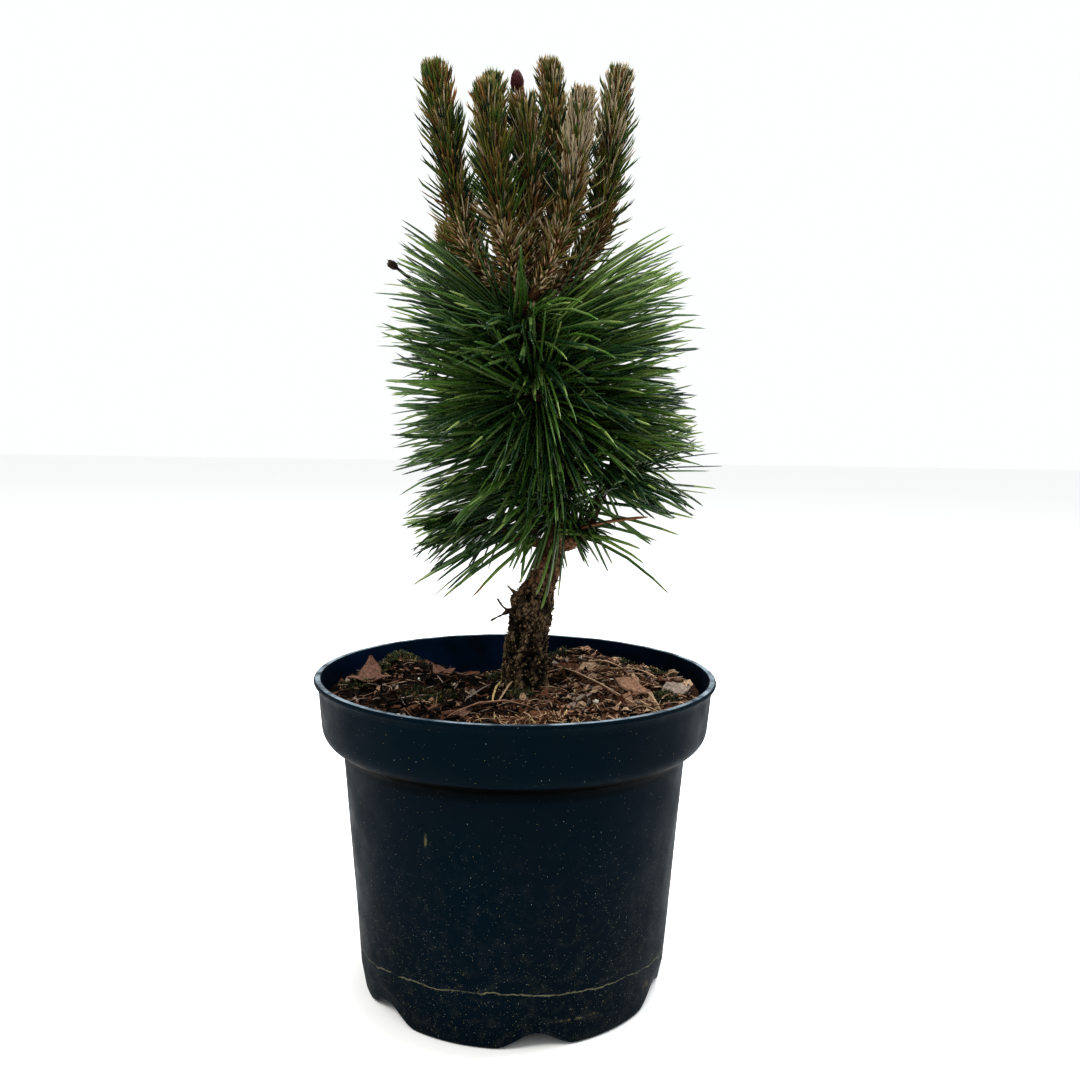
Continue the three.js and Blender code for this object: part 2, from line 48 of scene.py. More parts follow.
# The pot
RIM_RADIUS = 114.8
POT_HEIGHT = 180.5
BASE_RADIUS = 86.6
POT_WALL = 1.8
COLLAR_BOTTOM = 141.2
COLLAR_EDGE_HEIGHT = 12.0
COLLAR_LOW_RADIUS = 110.4
COLLAR_TOP_RADIUS = 112.5
WALL_TOP_RADIUS = 98.6
WALL_FOOT_RADIUS = 88.8
WALL_FOOT_HEIGHT = 14.0
LIP = 3.0
FLAT_CENTRE_RADIUS = 38.0
ARCH_FULL_RADIUS = 72.0
FOOT_ARCHES = 6
ARCH_HEIGHT = 8.0
ARCH_HALF_ANGLE = 15.0
FIRST_ARCH_ANGLE = -80.0
DRAIN_RADIUS = 4.5
DRAIN_PLACE = BASE_RADIUS - 18
POT_SIDES = 240

# The soil: its level, and mounds of x, y, reach and height
SOIL_LEVEL = 170.0
SOIL_RADIUS = 108.6
MOUNDS = [
    (-26, 86, 38, -17),
    (-70, 58, 20, 7),
    (38, 74, 24, 6),
    (52, 8, 34, 4),
    (24, 30, 16, 3),
    (-40, -50, 34, -2),
    (30, -62, 26, 2),
]

# The stem's path from the soil to its fork, and its radius at each point
STEM_POINTS = [
    (4.9, 0, 170.3, 14.2),
    (4.9, 0, 177, 12.8),
    (5.4, 0, 190, 12.3),
    (6.6, 0, 203, 12.2),
    (8.4, 0, 215, 12.3),
    (10.2, 0.5, 223, 11.4),
    (13.6, 1.2, 231, 8.6),
    (17.2, 1.8, 240, 7.3),
    (22.0, 2.6, 255, 6.0),
    (24.6, 3.0, 272, 5.6),
    (23.0, 3.0, 292, 5.4),
    (16.8, 2.4, 315, 5.2),
    (10.2, 1.6, 342, 5.0),
    (5.2, 0.8, 366, 5.0),
    (3.2, 0.2, 382, 5.6),
    (2.8, 0, 390, 5.6),
]
FORK = np.array([2.8, 0, 390])
FORK_RADIUS = 7.2
KNOB = np.array([2.6, -0.5, 222])
KNOB_RADIUS = 6.4
GRAFT_HEIGHT = 232.0
SPURS = [
    [(-1, 0, 216), (-6.6, -1, 217.5), (-11.2, -2, 223.5)],
    [(-4, 0, 216.5), (-9, -1, 213.5), (-15, -2, 210.5)],
    [(0, -1, 226), (-3.5, -1.5, 229), (-5.5, -2, 231.5)],
]

# Boughs: height on the stem, azimuth, reach out and up, and the radii at foot and tip
BOUGHS = {
    "bough_low_right": (254, -22, 22, 32, 3.3, 2.5),
    "bough_low_left": (255, 166, 30, 8, 2.7, 2.1),
}

# Old needles: tiers of heights, the first sector's azimuth, and how full each sector is
TIERS = {
    "low": (264, 300, 18, (0.48, 0.85, 0.72, 0.72, 0.62)),
    "mid": (303, 344, 44, (1, 1, 1, 1, 1, 1)),
    "top": (347, 382, 8, (1, 1, 1, 1, 1, 1)),
}
SPRAYS = 19
BOUGH_SPRAYS = 13
SPRAY_NEEDLES = 4
SPRAY_SPREAD = 22
LOWEST_ELEVATION = -31
HIGHEST_ELEVATION = 40
ELEVATION_POWER = 1.1
FRONT_DROOP = 40
FRONT_SHARE = 0.4
BACK_LIFT = 8
SHOOTS_SHOW_FROM = 390
HIGHEST_TIP = 431
LOWEST_TIP = 254
LOWEST_TIP_TILT = 28
LOW_THINNING = 0.65
RIGHT_REACH = {"low": 1.0, "mid": 0.99, "top": 1.12}
NEEDLE_LENGTH = 84
NEEDLE_WIDTH = 2.1

# Needles at the boughs' tips: azimuth, lift and reach
BOUGH_MASSES = {
    "bough_low_right": (-20, 6, 0.76),
    "bough_low_left": (190, -18, 0.62),
}

# New shoots: the direction in which each leaves the fork, points on its way, and its fullness
SHOOTS = [
    (180, 30, [(-24.5, -2, 411), (-33.5, -2, 437), (-48.0, -2, 511.0)], 1.08),
    (238, 30, [(-7.5, -15, 419), (-12.5, -20, 447), (-19, -24, 495.5)], 1),
    (118, 30, [(-9, 17, 424), (-15, 24, 452), (-18.2, 30, 517)], 0.9),
    (290, 84, [(3.6, -5, 423), (5.2, -8, 452), (-1.5, -9, 502.5)], 0.95),
    (62, 30, [(14.5, 15, 425), (20.5, 23, 455), (14.6, 27, 523)], 1),
    (302, 30, [(20, -11, 420), (27, -17, 445), (32, -21, 493.5)], 0.95),
    (0, 30, [(27.5, 0, 408), (43.5, 1, 436), (52.5, 2, 511.5)], 1),
    (149, -14, [(-22, 20, 398), (-36.5, 34, 411), (-45, 44, 436)], 0.8),
]
YOUNG_NEEDLE_LENGTH = 20.5
TUFT = 40
TUFT_LENGTH = 9.8
CONE_SHOOT = 3
CONE_RADIUS = 3.7
CONE_LENGTH = 11.5
CLEAR_OF_CONE = 2.5

# The camera, fitted to the pot's rim and foot in the photograph
CAMERA_PLACE = (12.9, -615.7, 322.6)
CAMERA_PITCH = 6.047
CAMERA_ROLL = -0.858
CAMERA_LENS = 36.03


# Small shared helpers
def mix(a, b, t):
    return a + (b - a) * t


def smooth(a, b, x):
    t = np.clip((np.asarray(x, float) - a) / (b - a), 0, 1)
    return t * t * (3 - 2 * t)


def chance(seed, index):
    """A repeatable number from 0 to 1 for a seed and an index."""
    s = np.sin(seed * 12.9898 + np.asarray(index) * 78.233) * 43758.5453
    return s - np.floor(s)


def unit(azimuth, elevation):
    """Directions from azimuths and elevations."""
    a, e = np.radians(azimuth), np.radians(elevation)
    a, e = np.broadcast_arrays(a, e)
    return np.stack([np.cos(a) * np.cos(e), np.sin(a) * np.cos(e), np.sin(e)], -1)


def normalised(v):
    return v / np.linalg.norm(v, axis=-1, keepdims=True)


def column(values):
    return np.asarray(values, float)[..., None]


def turned(first, second, angle):
    """Directions turned from the first towards the second by an angle in radians."""
    return first * column(np.cos(angle)) + second * column(np.sin(angle))


def square_to(ways, turns):
    """Unit vectors square to the ways, turned round them by an angle in radians."""
    helper = np.where(np.abs(ways[:, 2:]) < 0.9, [[0.0, 0, 1]], [[1.0, 0, 0]])
    first = normalised(np.cross(ways, helper))
    return turned(first, np.cross(ways, first), turns)


class Curve:
    """A smooth curve through points."""

    def __init__(self, points):
        p = np.array(points, float)[:, :3]
        self.points = np.vstack([2 * p[0] - p[1], p, 2 * p[-1] - p[-2]])
        self.spans = len(p) - 1

    def point(self, share):
        place = np.clip(np.atleast_1d(share), 0, 1) * self.spans
        i = np.minimum(place.astype(int), self.spans - 1)
        w = column(place - i)
        p0, p1, p2, p3 = (self.points[i + k] for k in range(4))
        t0, t1 = (p2 - p0) / 2, (p3 - p1) / 2
        return p1 + t0 * w + (3 * (p2 - p1) - 2 * t0 - t1) * w**2 + (2 * (p1 - p2) + t0 + t1) * w**3

    def even(self, part):
        """The shares at which parts of the curve's length are reached."""
        shares = np.linspace(0, 1, 400)
        steps = np.linalg.norm(np.diff(self.point(shares), axis=0), axis=1)
        reached = np.concatenate([[0], np.cumsum(steps)]) / steps.sum()
        return np.interp(part, reached, shares)

    def tangent(self, share):
        share = np.atleast_1d(share)
        step = 1e-4
        return normalised(self.point(np.minimum(share + step, 1)) - self.point(np.maximum(share - step, 0)))


# Noise: values of a fixed random lattice, smoothed, and cells round its points
LATTICE_SIZE = 32
LATTICE = np.random.default_rng(5).random((LATTICE_SIZE,) * 3 + (4,))


def lattice(cell):
    c = cell % LATTICE_SIZE
    return LATTICE[c[:, 0], c[:, 1], c[:, 2]]


def noise(points, size, seed=0):
    """Smooth values from -1 to 1, with bumps about one size apart."""
    p = points / size + 7.31 * seed
    base = np.floor(p).astype(int)
    f = p - base
    f = f * f * (3 - 2 * f)
    total = np.zeros(len(p))
    for corner in np.ndindex(2, 2, 2):
        weight = np.prod(np.where(corner, f, 1 - f), axis=1)
        total += weight * lattice(base + corner)[:, 0]
    return 2 * total - 1


def layered(points, *layers):
    """Noise in layers, each of a height, a size and a seed."""
    return sum(height * noise(points, size, seed) for height, size, seed in layers)


def cells(points, size, seed=0):
    """How far each point is from its cell's edge and middle, and the cell's own number from 0 to 1."""
    p = points / size + 5.77 * seed
    base = np.floor(p).astype(int)
    first = np.full(len(p), 9.0)
    second = np.full(len(p), 9.0)
    offset = np.zeros_like(p)
    own = np.zeros(len(p))
    for step in np.ndindex(3, 3, 3):
        cell = base + np.array(step) - 1
        random = lattice(cell)
        away = p - cell - random[:, :3]
        distance = np.linalg.norm(away, axis=1)
        nearer = distance < first
        second = np.where(nearer, first, np.minimum(second, distance))
        first = np.where(nearer, distance, first)
        offset[nearer] = away[nearer]
        own[nearer] = random[nearer, 3]
    return second - first, offset, own


class Parts:
    """Points and faces of many small shapes on their way into one mesh."""

    def __init__(self):
        self.points, self.faces, self.tones = [], [], []
        self.count = 0

    def add(self, points, faces, tones):
        """Adds one shape, or a stack of shapes with the same faces. Tones are for each face."""
        points = np.asarray(points, float)
        if points.ndim == 2:
            points = points[None]
        n, size = points.shape[:2]
        starts = self.count + size * np.arange(n)
        for pattern, tone in zip(faces, tones):
            pattern = np.asarray(pattern)
            self.faces.append((starts[:, None, None] + pattern[None]).reshape(-1, pattern.shape[1]))
            self.tones.append(np.broadcast_to(tone, (n, len(pattern))).ravel())
        self.points.append(points.reshape(-1, 3))
        self.count += n * size

    def mesh(self, name, materials, flat=()):
        points = np.concatenate(self.points) * MM
        mesh = bpy.data.meshes.new(name)
        mesh.vertices.add(len(points))
        mesh.vertices.foreach_set("co", points.astype(np.float32).ravel())
        corners = np.concatenate([f.ravel() for f in self.faces])
        sizes = np.concatenate([np.full(len(f), f.shape[1]) for f in self.faces])
        tones = np.concatenate(self.tones)
        mesh.loops.add(len(corners))
        mesh.loops.foreach_set("vertex_index", corners.astype(np.int32))
        mesh.polygons.add(len(sizes))
        mesh.polygons.foreach_set("loop_start", (np.cumsum(sizes) - sizes).astype(np.int32))
        mesh.update(calc_edges=True)
        mesh.polygons.foreach_set("material_index", tones.astype(np.int32))
        mesh.polygons.foreach_set("use_smooth", ~np.isin(tones, flat))
        for material in materials:
            mesh.materials.append(material)
        mesh.validate()
        return mesh


def linked(name, data):
    """A new object in the scene."""
    made = bpy.data.objects.new(name, data)
    bpy.context.scene.collection.objects.link(made)
    return made


def put(name, mesh, slot, *nodes):
    """A piece of the plant or its pot, which rides on the only body."""
    piece = linked(name, mesh)
    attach(piece, "root")
    if nodes:
        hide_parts(*nodes)
    return piece


def grid_faces(rings, sides, closed=True):
    """Quads of a tube's wall, facing out when its rings run anticlockwise."""
    i, j = np.meshgrid(np.arange(rings - 1), np.arange(sides if closed else sides - 1), indexing="ij")
    i, j = i.ravel(), j.ravel()
    k = (j + 1) % sides
    return np.stack([i * sides + j, i * sides + k, (i + 1) * sides + k, (i + 1) * sides + j], 1)


def around_rings(radii, heights, turn):
    """Points of rings round the upright axis, one ring for each row of radii and heights."""
    return np.stack(np.broadcast_arrays(radii * np.cos(turn), radii * np.sin(turn), heights), -1)


def even_turns(sides):
    return FULL_TURN * np.arange(sides) / sides


def closed_faces(rings, sides):
    """A tube's wall, and its fans to a point at the foot and one at the top, which follow its rings."""
    around = np.arange(sides)
    onward = (around + 1) % sides
    last = (rings - 1) * sides
    foot = np.stack([np.full(sides, rings * sides), onward, around], 1)
    top = np.stack([np.full(sides, rings * sides + 1), last + around, last + onward], 1)
    return [grid_faces(rings, sides), foot, top]


def add_tube(parts, centres, first, second, radii, tone=0, sides=10):
    """A closed tube: radii has one value for each ring, or a row of one for each side."""
    if radii.ndim == 1:
        radii = np.repeat(radii[:, None], sides, 1)
    rings, sides = radii.shape
    spoke = turned(first[:, None], second[:, None], even_turns(sides))
    walls = (centres[:, None] + spoke * radii[..., None]).reshape(-1, 3)
    points = np.vstack([walls, centres[0], centres[-1]])
    parts.add(points, closed_faces(rings, sides), [tone] * 3)


def frames_along(curve, shares, aside=(0.0, 1, 0)):
    """Centres of a curve and two directions square to it. It must not run along the aside direction."""
    tangent = curve.tangent(shares)
    first = normalised(np.cross(aside, tangent))
    return curve.point(shares), first, np.cross(tangent, first)


# Needles: half-round in section, in half widths, with the flat face between the last and first points
HALF_ROUND = np.array([(-1, 0), (-0.6, 0.85), (0.6, 0.85), (1, 0)])
LONG_SHARES = np.array([0, 0.12, 0.36, 0.62, 0.85, 0.96])
LONG_FULLNESS = np.array([0.7, 0.95, 1, 0.95, 0.75, 0.45])
SHORT_SECTION = np.array([(-1, -0.2), (0, 0.9), (1, -0.2)])
SHORT_SHARES = np.array([0, 0.3, 0.75])
SHORT_FULLNESS = np.array([0.8, 1, 0.8])


def add_needles(parts, roots, ways, sides, lengths, widths, bows, tones, back, tip, short=False):
    """Needles from their roots, each bowed by its own vector at the middle.

    Tones, back and tip are the tones of the round side, the flat face and the point.
    """
    section, shares, fullness = HALF_ROUND, LONG_SHARES, LONG_FULLNESS
    if short:
        section, shares, fullness = SHORT_SECTION, SHORT_SHARES, SHORT_FULLNESS
    n, m, k = len(roots), len(shares), len(section)
    normals = np.cross(ways, sides)
    s = shares[None, :, None]
    centres = roots[:, None] + ways[:, None] * column(column(lengths)) * s + bows[:, None] * 4 * s * (1 - s)
    offsets = sides[:, None] * section[:, :1] + normals[:, None] * section[:, 1:]
    half = 0.5 * column(widths) * fullness
    rings = centres[:, :, None] + half[:, :, None, None] * offsets[:, None]
    tips = roots + ways * column(lengths)
    points = np.concatenate([rings.reshape(n, m * k, 3), tips[:, None]], 1)
    wall = grid_faces(m, k)[:, ::-1]
    last = (m - 1) * k + np.arange(k)
    point = np.stack([(m - 1) * k + (np.arange(k) + 1) % k, last, np.full(k, m * k)], 1)
    foot = np.arange(k)[None]
    wall_tones = np.repeat(tones[:, None], len(wall), 1)
    flat_face = np.arange(len(wall)) % k == k - 1
    wall_tones[:, flat_face] = np.broadcast_to(back, n)[:, None]
    wall_tones[:, len(wall) - k:] = np.broadcast_to(tip, n)[:, None]
    parts.add(points, [wall, point, foot], [wall_tones, np.broadcast_to(tip, n)[:, None], tones[:, None]])


def add_scales(parts, roots, ways, outs, lengths, widths, lifts, tones):
    """Small pointed scales: a foot across the way, a ridge, and a tip that lifts outwards."""
    side = normalised(np.cross(ways, outs))
    w, l, h = column(widths), column(lengths), column(lifts)
    left, right = roots - side * w / 2, roots + side * w / 2
    ridge = roots + ways * l * 0.4 + outs * (0.35 * w + 0.4 * h)
    tip = roots + ways * l + outs * h
    points = np.stack([left, right, ridge, tip], 1)
    faces = [(0, 1, 2), (1, 3, 2), (3, 0, 2), (1, 0, 3)]
    parts.add(points, [faces], [tones[:, None]])


# Materials: each is a principled shader whose colour, roughness and relief come from its nodes. A
# colour mix has its two colours and its result at these sockets
COLOUR_A, COLOUR_B, COLOUR_OUT = 6, 7, 2


class Nodes:
    """One material's nodes. What a node is given is a number, a colour or another node's socket."""

    def __init__(self, name, specular):
        self.material = bpy.data.materials.new(name)
        self.material.use_nodes = True
        self.tree = self.material.node_tree
        self.shader = self.tree.nodes["Principled BSDF"]
        self.place = self.node("TexCoord").outputs["Object"]
        self.give(self.shader, {"Specular IOR Level": specular})

    def give(self, made, inputs):
        for key, value in inputs.items():
            socket = made.inputs[key]
            if isinstance(value, bpy.types.NodeSocket):
                self.tree.links.new(value, socket)
            elif socket.type == "RGBA":
                socket.default_value = (*value, 1)
            else:
                socket.default_value = value

    def node(self, kind, inputs=None, **settings):
        made = self.tree.nodes.new("ShaderNode" + kind)
        for key, value in settings.items():
            setattr(made, key, value)
        self.give(made, inputs or {})
        return made

    def axes(self):
        """The sockets of a place's x, y and z, in metres."""
        return self.node("SeparateXYZ", {"Vector": self.place}).outputs

    def math(self, operation, a, b=0.0):
        return self.node("Math", {0: a, 1: b}, operation=operation).outputs[0]

    def times(self, a, b):
        return self.math("MULTIPLY", a, b)

    def away(self, axis, middle):
        """How far a place is from a middle that is given in millimetres."""
        return self.math("ABSOLUTE", self.math("SUBTRACT", axis, middle * MM))

    def ranged(self, value, low, high, to_low=0.0, to_high=1.0):
        """A value's range mapped to another one, and held at its ends."""
        ends = {"From Min": low, "From Max": high, "To Min": to_low, "To Max": to_high}
        return self.node("MapRange", {"Value": value, **ends}).outputs["Result"]

    def placed(self, axis, low, high, to_low=0.0, to_high=1.0):
        """The same for a place, with its range in millimetres."""
        return self.ranged(axis, low * MM, high * MM, to_low, to_high)

    def noise(self, scale, detail=4, roughness=0.6, stretch=None):
        place = self.place
        if stretch:
            place = self.node("Mapping", {"Vector": place, "Scale": stretch}).outputs["Vector"]
        settings = {"Scale": scale, "Detail": detail, "Roughness": roughness}
        return self.node("TexNoise", {"Vector": place, **settings}).outputs["Fac"]

    def patches(self, noise, low, high, to_low=0.0, to_high=1.0):
        """Noise of a scale, a detail and so on, mapped to a range."""
        return self.ranged(self.noise(*noise), low, high, to_low, to_high)

    def mixed(self, factor, a, b):
        """The colour a where the factor is 0 and b where it is 1."""
        inputs = {"Factor": factor, COLOUR_A: a, COLOUR_B: b}
        return self.node("Mix", inputs, data_type="RGBA").outputs[COLOUR_OUT]


def plain(name, colour, roughness, spread, specular):
    """The nodes of a material of one colour, with a fine grain in its roughness."""
    nodes = Nodes(name, specular)
    grain = nodes.patches((220, 3, 0.5), 0.0, 1.0, roughness - spread, roughness + spread)
    nodes.give(nodes.shader, {"Base Color": colour, "Roughness": grain})
    return nodes


def plain_set(colours, *looks):
    """Materials for a list of names and colours."""
    return [plain(name, colour, *looks).material for name, colour in colours]


def rough(name, specular, colour, grain, least, most, relief, depth):
    """The nodes of a material from a function for its colour, patches of roughness and a relief."""
    nodes = Nodes(name, specular)
    bump = nodes.node("Bump", {"Strength": 1.0, "Distance": depth * MM, "Height": nodes.noise(*relief)})
    roughness = nodes.patches(grain, 0.3, 0.7, least, most)
    looks = {"Base Color": colour(nodes), "Roughness": roughness, "Normal": bump.outputs["Normal"]}
    nodes.give(nodes.shader, looks)
    return nodes


# The pot's plastic: near-black blue, dusty towards the foot, with specks and the line that
# standing water has left
WATER_LINE_HEIGHT = 22.0
WATER_LINE_TILT = 0.113
WATER_LINE_WAVER = 1.6
DUSTY_UP_TO = 130
DUST_FILM = 0.22
POT_BLUE = (0.0008, 0.0046, 0.0084)
POT_NAVY = (0.0014, 0.0090, 0.026)
POT_OLIVE = (0.0034, 0.0050, 0.0056)
DUST = (0.062, 0.059, 0.046)
PALE_SPECK = (0.20, 0.21, 0.19)
WORN_EDGE_AND_HIGHLIGHT = (0.17, 0.21, 0.24)
PAINTED_COLLAR_SHADE = (0.0002, 0.0003, 0.0004)
YELLOW_SPECK = (0.20, 0.17, 0.07)
WATER_STAIN = (0.15, 0.145, 0.085)

# Specks: how many cells there are in a metre, their radius as a share of a cell, and colour. The
# shares of cells that stay empty high up and near the foot
POT_SPECKS = [(520, 0.10, PALE_SPECK), (660, 0.11, YELLOW_SPECK), (1100, 0.22, DUST)]
EMPTY_HIGH_UP, EMPTY_AT_FOOT = 0.965, 0.68

# Heights from the collar's bottom at which the painted shade below it comes and goes, and depths
# below the rim between which its edge is worn and carries a painted pale-blue highlight
COLLAR_SHADE_COMES, COLLAR_SHADE_GOES = (-6, -0.5), (5.4, 6.4)
WORN_AND_HIGHLIGHT_DEPTHS = (0.12, 0.03)

# Smears and scuffs on the pot's front: x, height, half width and half height
POT_MARKS = [(-42.9, 112, 1.0, 4.5), (34, 15.5, 15, 1.0), (74.5, 17.5, 2.2, 3)]


def with_specks(nodes, colour, low):
    for scale, size, speck in POT_SPECKS:
        cell = nodes.node("TexVoronoi", {"Scale": scale, "Vector": nodes.place}).outputs
        hue = nodes.node("SeparateColor", {"Color": cell["Color"]}).outputs
        empty = nodes.ranged(low, 0.0, 1.0, EMPTY_HIGH_UP, EMPTY_AT_FOOT)
        picked = nodes.math("GREATER_THAN", hue["Red"], empty)
        near = nodes.math("LESS_THAN", cell["Distance"], size)
        colour = nodes.mixed(nodes.times(picked, near), colour, speck)
    return colour


def with_water_line(nodes, colour, depth, height):
    """The stain that standing water left, which wavers and is broken."""
    waver = nodes.patches((60, 5), 0.3, 0.7, -WATER_LINE_WAVER * MM, WATER_LINE_WAVER * MM)
    line = nodes.math("ADD", height, nodes.times(depth, WATER_LINE_TILT))
    off = nodes.away(nodes.math("ADD", line, waver), WATER_LINE_HEIGHT)
    broken = nodes.patches((110, 6), 0.38, 0.56, 0.08, 0.7)
    return nodes.mixed(nodes.times(nodes.placed(off, 0.1, 0.5, 1.0, 0.0), broken), colour, WATER_STAIN)


def with_marks(nodes, colour, aside, depth, height):
    front = nodes.math("LESS_THAN", depth, 0.0)
    for x, z, half_width, half_height in POT_MARKS:
        across = nodes.math("DIVIDE", nodes.away(aside, x), half_width * MM)
        up = nodes.math("DIVIDE", nodes.away(height, z), half_height * MM)
        mark = nodes.times(nodes.ranged(nodes.math("MAXIMUM", across, up), 0.4, 1.0, 1.0, 0.0), front)
        mark = nodes.times(mark, nodes.patches((260, 5), 0.46, 0.62, 0.0, 0.3))
        colour = nodes.mixed(mark, colour, YELLOW_SPECK)
    return colour


def pot_colour(nodes):
    aside, depth, height = nodes.axes()
    low = nodes.placed(height, 0, DUSTY_UP_TO, 1.0, 0.0)
    colour = nodes.mixed(nodes.patches((14,), 0.42, 0.72, 0.0, 0.4), POT_BLUE, POT_OLIVE)
    film = nodes.times(nodes.patches((160, 6), 0.5, 0.75), low)
    colour = with_specks(nodes, nodes.mixed(nodes.times(film, DUST_FILM), colour, DUST), low)
    # Painted shade: a near-black band over the collar's underside and the wall just below it
    under = nodes.placed(height, *(COLLAR_BOTTOM + up for up in COLLAR_SHADE_COMES))
    over = nodes.placed(height, *(COLLAR_BOTTOM + up for up in COLLAR_SHADE_GOES), 1.0, 0.0)
    colour = nodes.mixed(nodes.times(under, over), colour, PAINTED_COLLAR_SHADE)
    # The rim's top edge: patchy wear, with a painted pale-blue highlight along it
    edge = nodes.placed(height, *(POT_HEIGHT - down for down in WORN_AND_HIGHLIGHT_DEPTHS))
    worn = nodes.times(edge, nodes.patches((70, 5), 0.38, 0.6, 0.15, 1.0))
    colour = with_water_line(nodes, nodes.mixed(worn, colour, WORN_EDGE_AND_HIGHLIGHT), depth, height)
    return with_marks(nodes, colour, aside, depth, height)


def inside_colour(nodes):
    return nodes.mixed(nodes.patches((30,), 0.35, 0.65), POT_NAVY, POT_BLUE)


# Its roughness, in patches between two values, and its relief
POT_GRAIN = ((45, 6), 0.40, 0.62, (900, 3), 0.05)
pot_plastic = rough("pot_plastic", 0.022, pot_colour, *POT_GRAIN)
pot_plastic.give(pot_plastic.shader, {"Specular Tint": (0.62, 0.84, 0.93)})
pot_inside = rough("pot_inside", 0.015, inside_colour, *POT_GRAIN)


# The pot
def arch_lift(x, y, z):
    """How far the arches lift a point of the pot's foot."""
    step = 360 / FOOT_ARCHES
    angle = np.degrees(np.arctan2(y, x)) - FIRST_ARCH_ANGLE
    off = np.abs(angle - np.round(angle / step) * step)
    arch = np.where(off < ARCH_HALF_ANGLE, np.cos(np.radians(90 * off / ARCH_HALF_ANGLE)) ** 2, 0)
    outward = smooth(FLAT_CENTRE_RADIUS, ARCH_FULL_RADIUS, np.hypot(x, y))
    return ARCH_HEIGHT * arch * outward * (1 - smooth(3.4, WALL_FOOT_HEIGHT + 10, z))


def arc(centre, radii, start, end, count):
    """Points of a quarter or half turn in the profile's plane."""
    turn = np.radians(np.linspace(start, end, count))
    return [(centre[0] + radii[0] * math.cos(t), centre[1] + radii[1] * math.sin(t)) for t in turn]


def refined(points, step):
    """A profile with its long stretches divided."""
    fine = [points[0]]
    for a, b in zip(points, points[1:]):
        count = max(1, math.ceil(math.dist(a, b) / step))
        fine += [(mix(a[0], b[0], i / count), mix(a[1], b[1], i / count)) for i in range(1, count + 1)]
    return fine


# The collar's lower edge from the wall outwards, in shares of its reach and of its height
COLLAR_EDGE = [(0, 0), (0.5, 0.25), (0.76, 0.45), (0.93, 0.72), (1, 1)]


def collar_edge(inset):
    """The collar's lower edge, set in from the outside by an amount."""
    reach = COLLAR_LOW_RADIUS - WALL_TOP_RADIUS
    points = []
    for out, up in COLLAR_EDGE:
        height = COLLAR_BOTTOM + COLLAR_EDGE_HEIGHT * up + 0.4 * inset
        points.append((WALL_TOP_RADIUS + reach * out - inset, 0, height))
    return [(x, z) for x, _, z in Curve(points).point(np.linspace(0, 1, 13))]


FOOT_ROUND = 2.4
LIP_ROUND = 0.8
RIM_ROUND = (1.1, 1.4)
LONGEST_STRETCH = 3.2


def pot_profile():
    """Points on the pot's outside and on its inside, from the middle of its foot round to its floor."""
    foot, lip = (FOOT_ROUND, FOOT_ROUND), (LIP_ROUND, LIP_ROUND)
    inner_edge = COLLAR_TOP_RADIUS - POT_WALL
    outer = [
        (0, 0),
        *arc((BASE_RADIUS - FOOT_ROUND, FOOT_ROUND), foot, -90, -10, 5),
        (WALL_FOOT_RADIUS, WALL_FOOT_HEIGHT),
        *collar_edge(0),
        (COLLAR_TOP_RADIUS, POT_HEIGHT - LIP - LIP_ROUND),
        *arc((RIM_RADIUS - RIM_ROUND[0], POT_HEIGHT - RIM_ROUND[1]), RIM_ROUND, -60, 90, 7),
        *arc((inner_edge + LIP_ROUND, POT_HEIGHT - LIP_ROUND), lip, 90, 180, 4),
    ]
    inner = [
        *reversed(collar_edge(POT_WALL)),
        (WALL_FOOT_RADIUS - POT_WALL, WALL_FOOT_HEIGHT),
        *arc((BASE_RADIUS - POT_WALL - FOOT_ROUND, POT_WALL + FOOT_ROUND), foot, 0, -90, 5),
        (0, POT_WALL),
    ]
    return outer, inner


def make_pot():
    outer, inner = pot_profile()
    rings = np.array(refined([*outer, *inner], LONGEST_STRETCH))[1:-1]
    inner_rings = len(refined([outer[-1], *inner], LONGEST_STRETCH)) - 2
    turn = np.radians(FIRST_ARCH_ANGLE) + even_turns(POT_SIDES)
    points = around_rings(rings[:, :1], rings[:, 1:], turn).reshape(-1, 3)
    points = np.vstack([points, (0, 0, 0), (0, 0, POT_WALL)])
    wobble = layered(points, (0.25, 60, 1), (0.06, 6, 2))
    outward = normalised(points * (1, 1, 0) + (1e-9, 0, 0))
    points += outward * column(wobble * smooth(60, 80, np.hypot(points[:, 0], points[:, 1])))
    points[:, 2] += arch_lift(*points.T)
    inside = np.repeat(np.arange(1 - len(rings), 0) >= -inner_rings, POT_SIDES).astype(int)
    parts = Parts()
    parts.add(points, closed_faces(len(rings), POT_SIDES), [inside, 0, 1])
    return parts.mesh("pot_shell", [pot_plastic.material, pot_inside.material])


def cut_drains(pot):
    """Cuts a drain hole through the floor under each arch."""
    drains = Parts()
    ends = np.array([(0, 0, -5), (0, 0, 20)])
    first, second = np.tile([1.0, 0, 0], (2, 1)), np.tile([0, 1.0, 0], (2, 1))
    for k in range(FOOT_ARCHES):
        centre = unit(FIRST_ARCH_ANGLE + 360 * k / FOOT_ARCHES, 0) * DRAIN_PLACE
        add_tube(drains, centre + ends, first, second, np.full(2, DRAIN_RADIUS), sides=32)
    cutter = linked("drain_cutter", drains.mesh("drain_cutter", []))
    boolean = pot.modifiers.new("drains", "BOOLEAN")
    boolean.object = cutter
    boolean.operation = "DIFFERENCE"
    boolean.solver = "EXACT"
    ready = bpy.context.evaluated_depsgraph_get()
    pot.data = bpy.data.meshes.new_from_object(pot.evaluated_get(ready))
    pot.modifiers.clear()
    bpy.data.objects.remove(cutter)


pot = put("pot_shell", make_pot(), "pot", "pot")
cut_drains(pot)


# The soil's body: how far it drops at the rim, and the distances between which it leaves its level
# round the trunk
SOIL_RIM_DROP = 2
FLAT_AT_TRUNK = (17, 30)


def from_trunk(x, y):
    """How far places on the soil are from the trunk's foot."""
    return np.hypot(x - STEM_POINTS[0][0], y - STEM_POINTS[0][1])


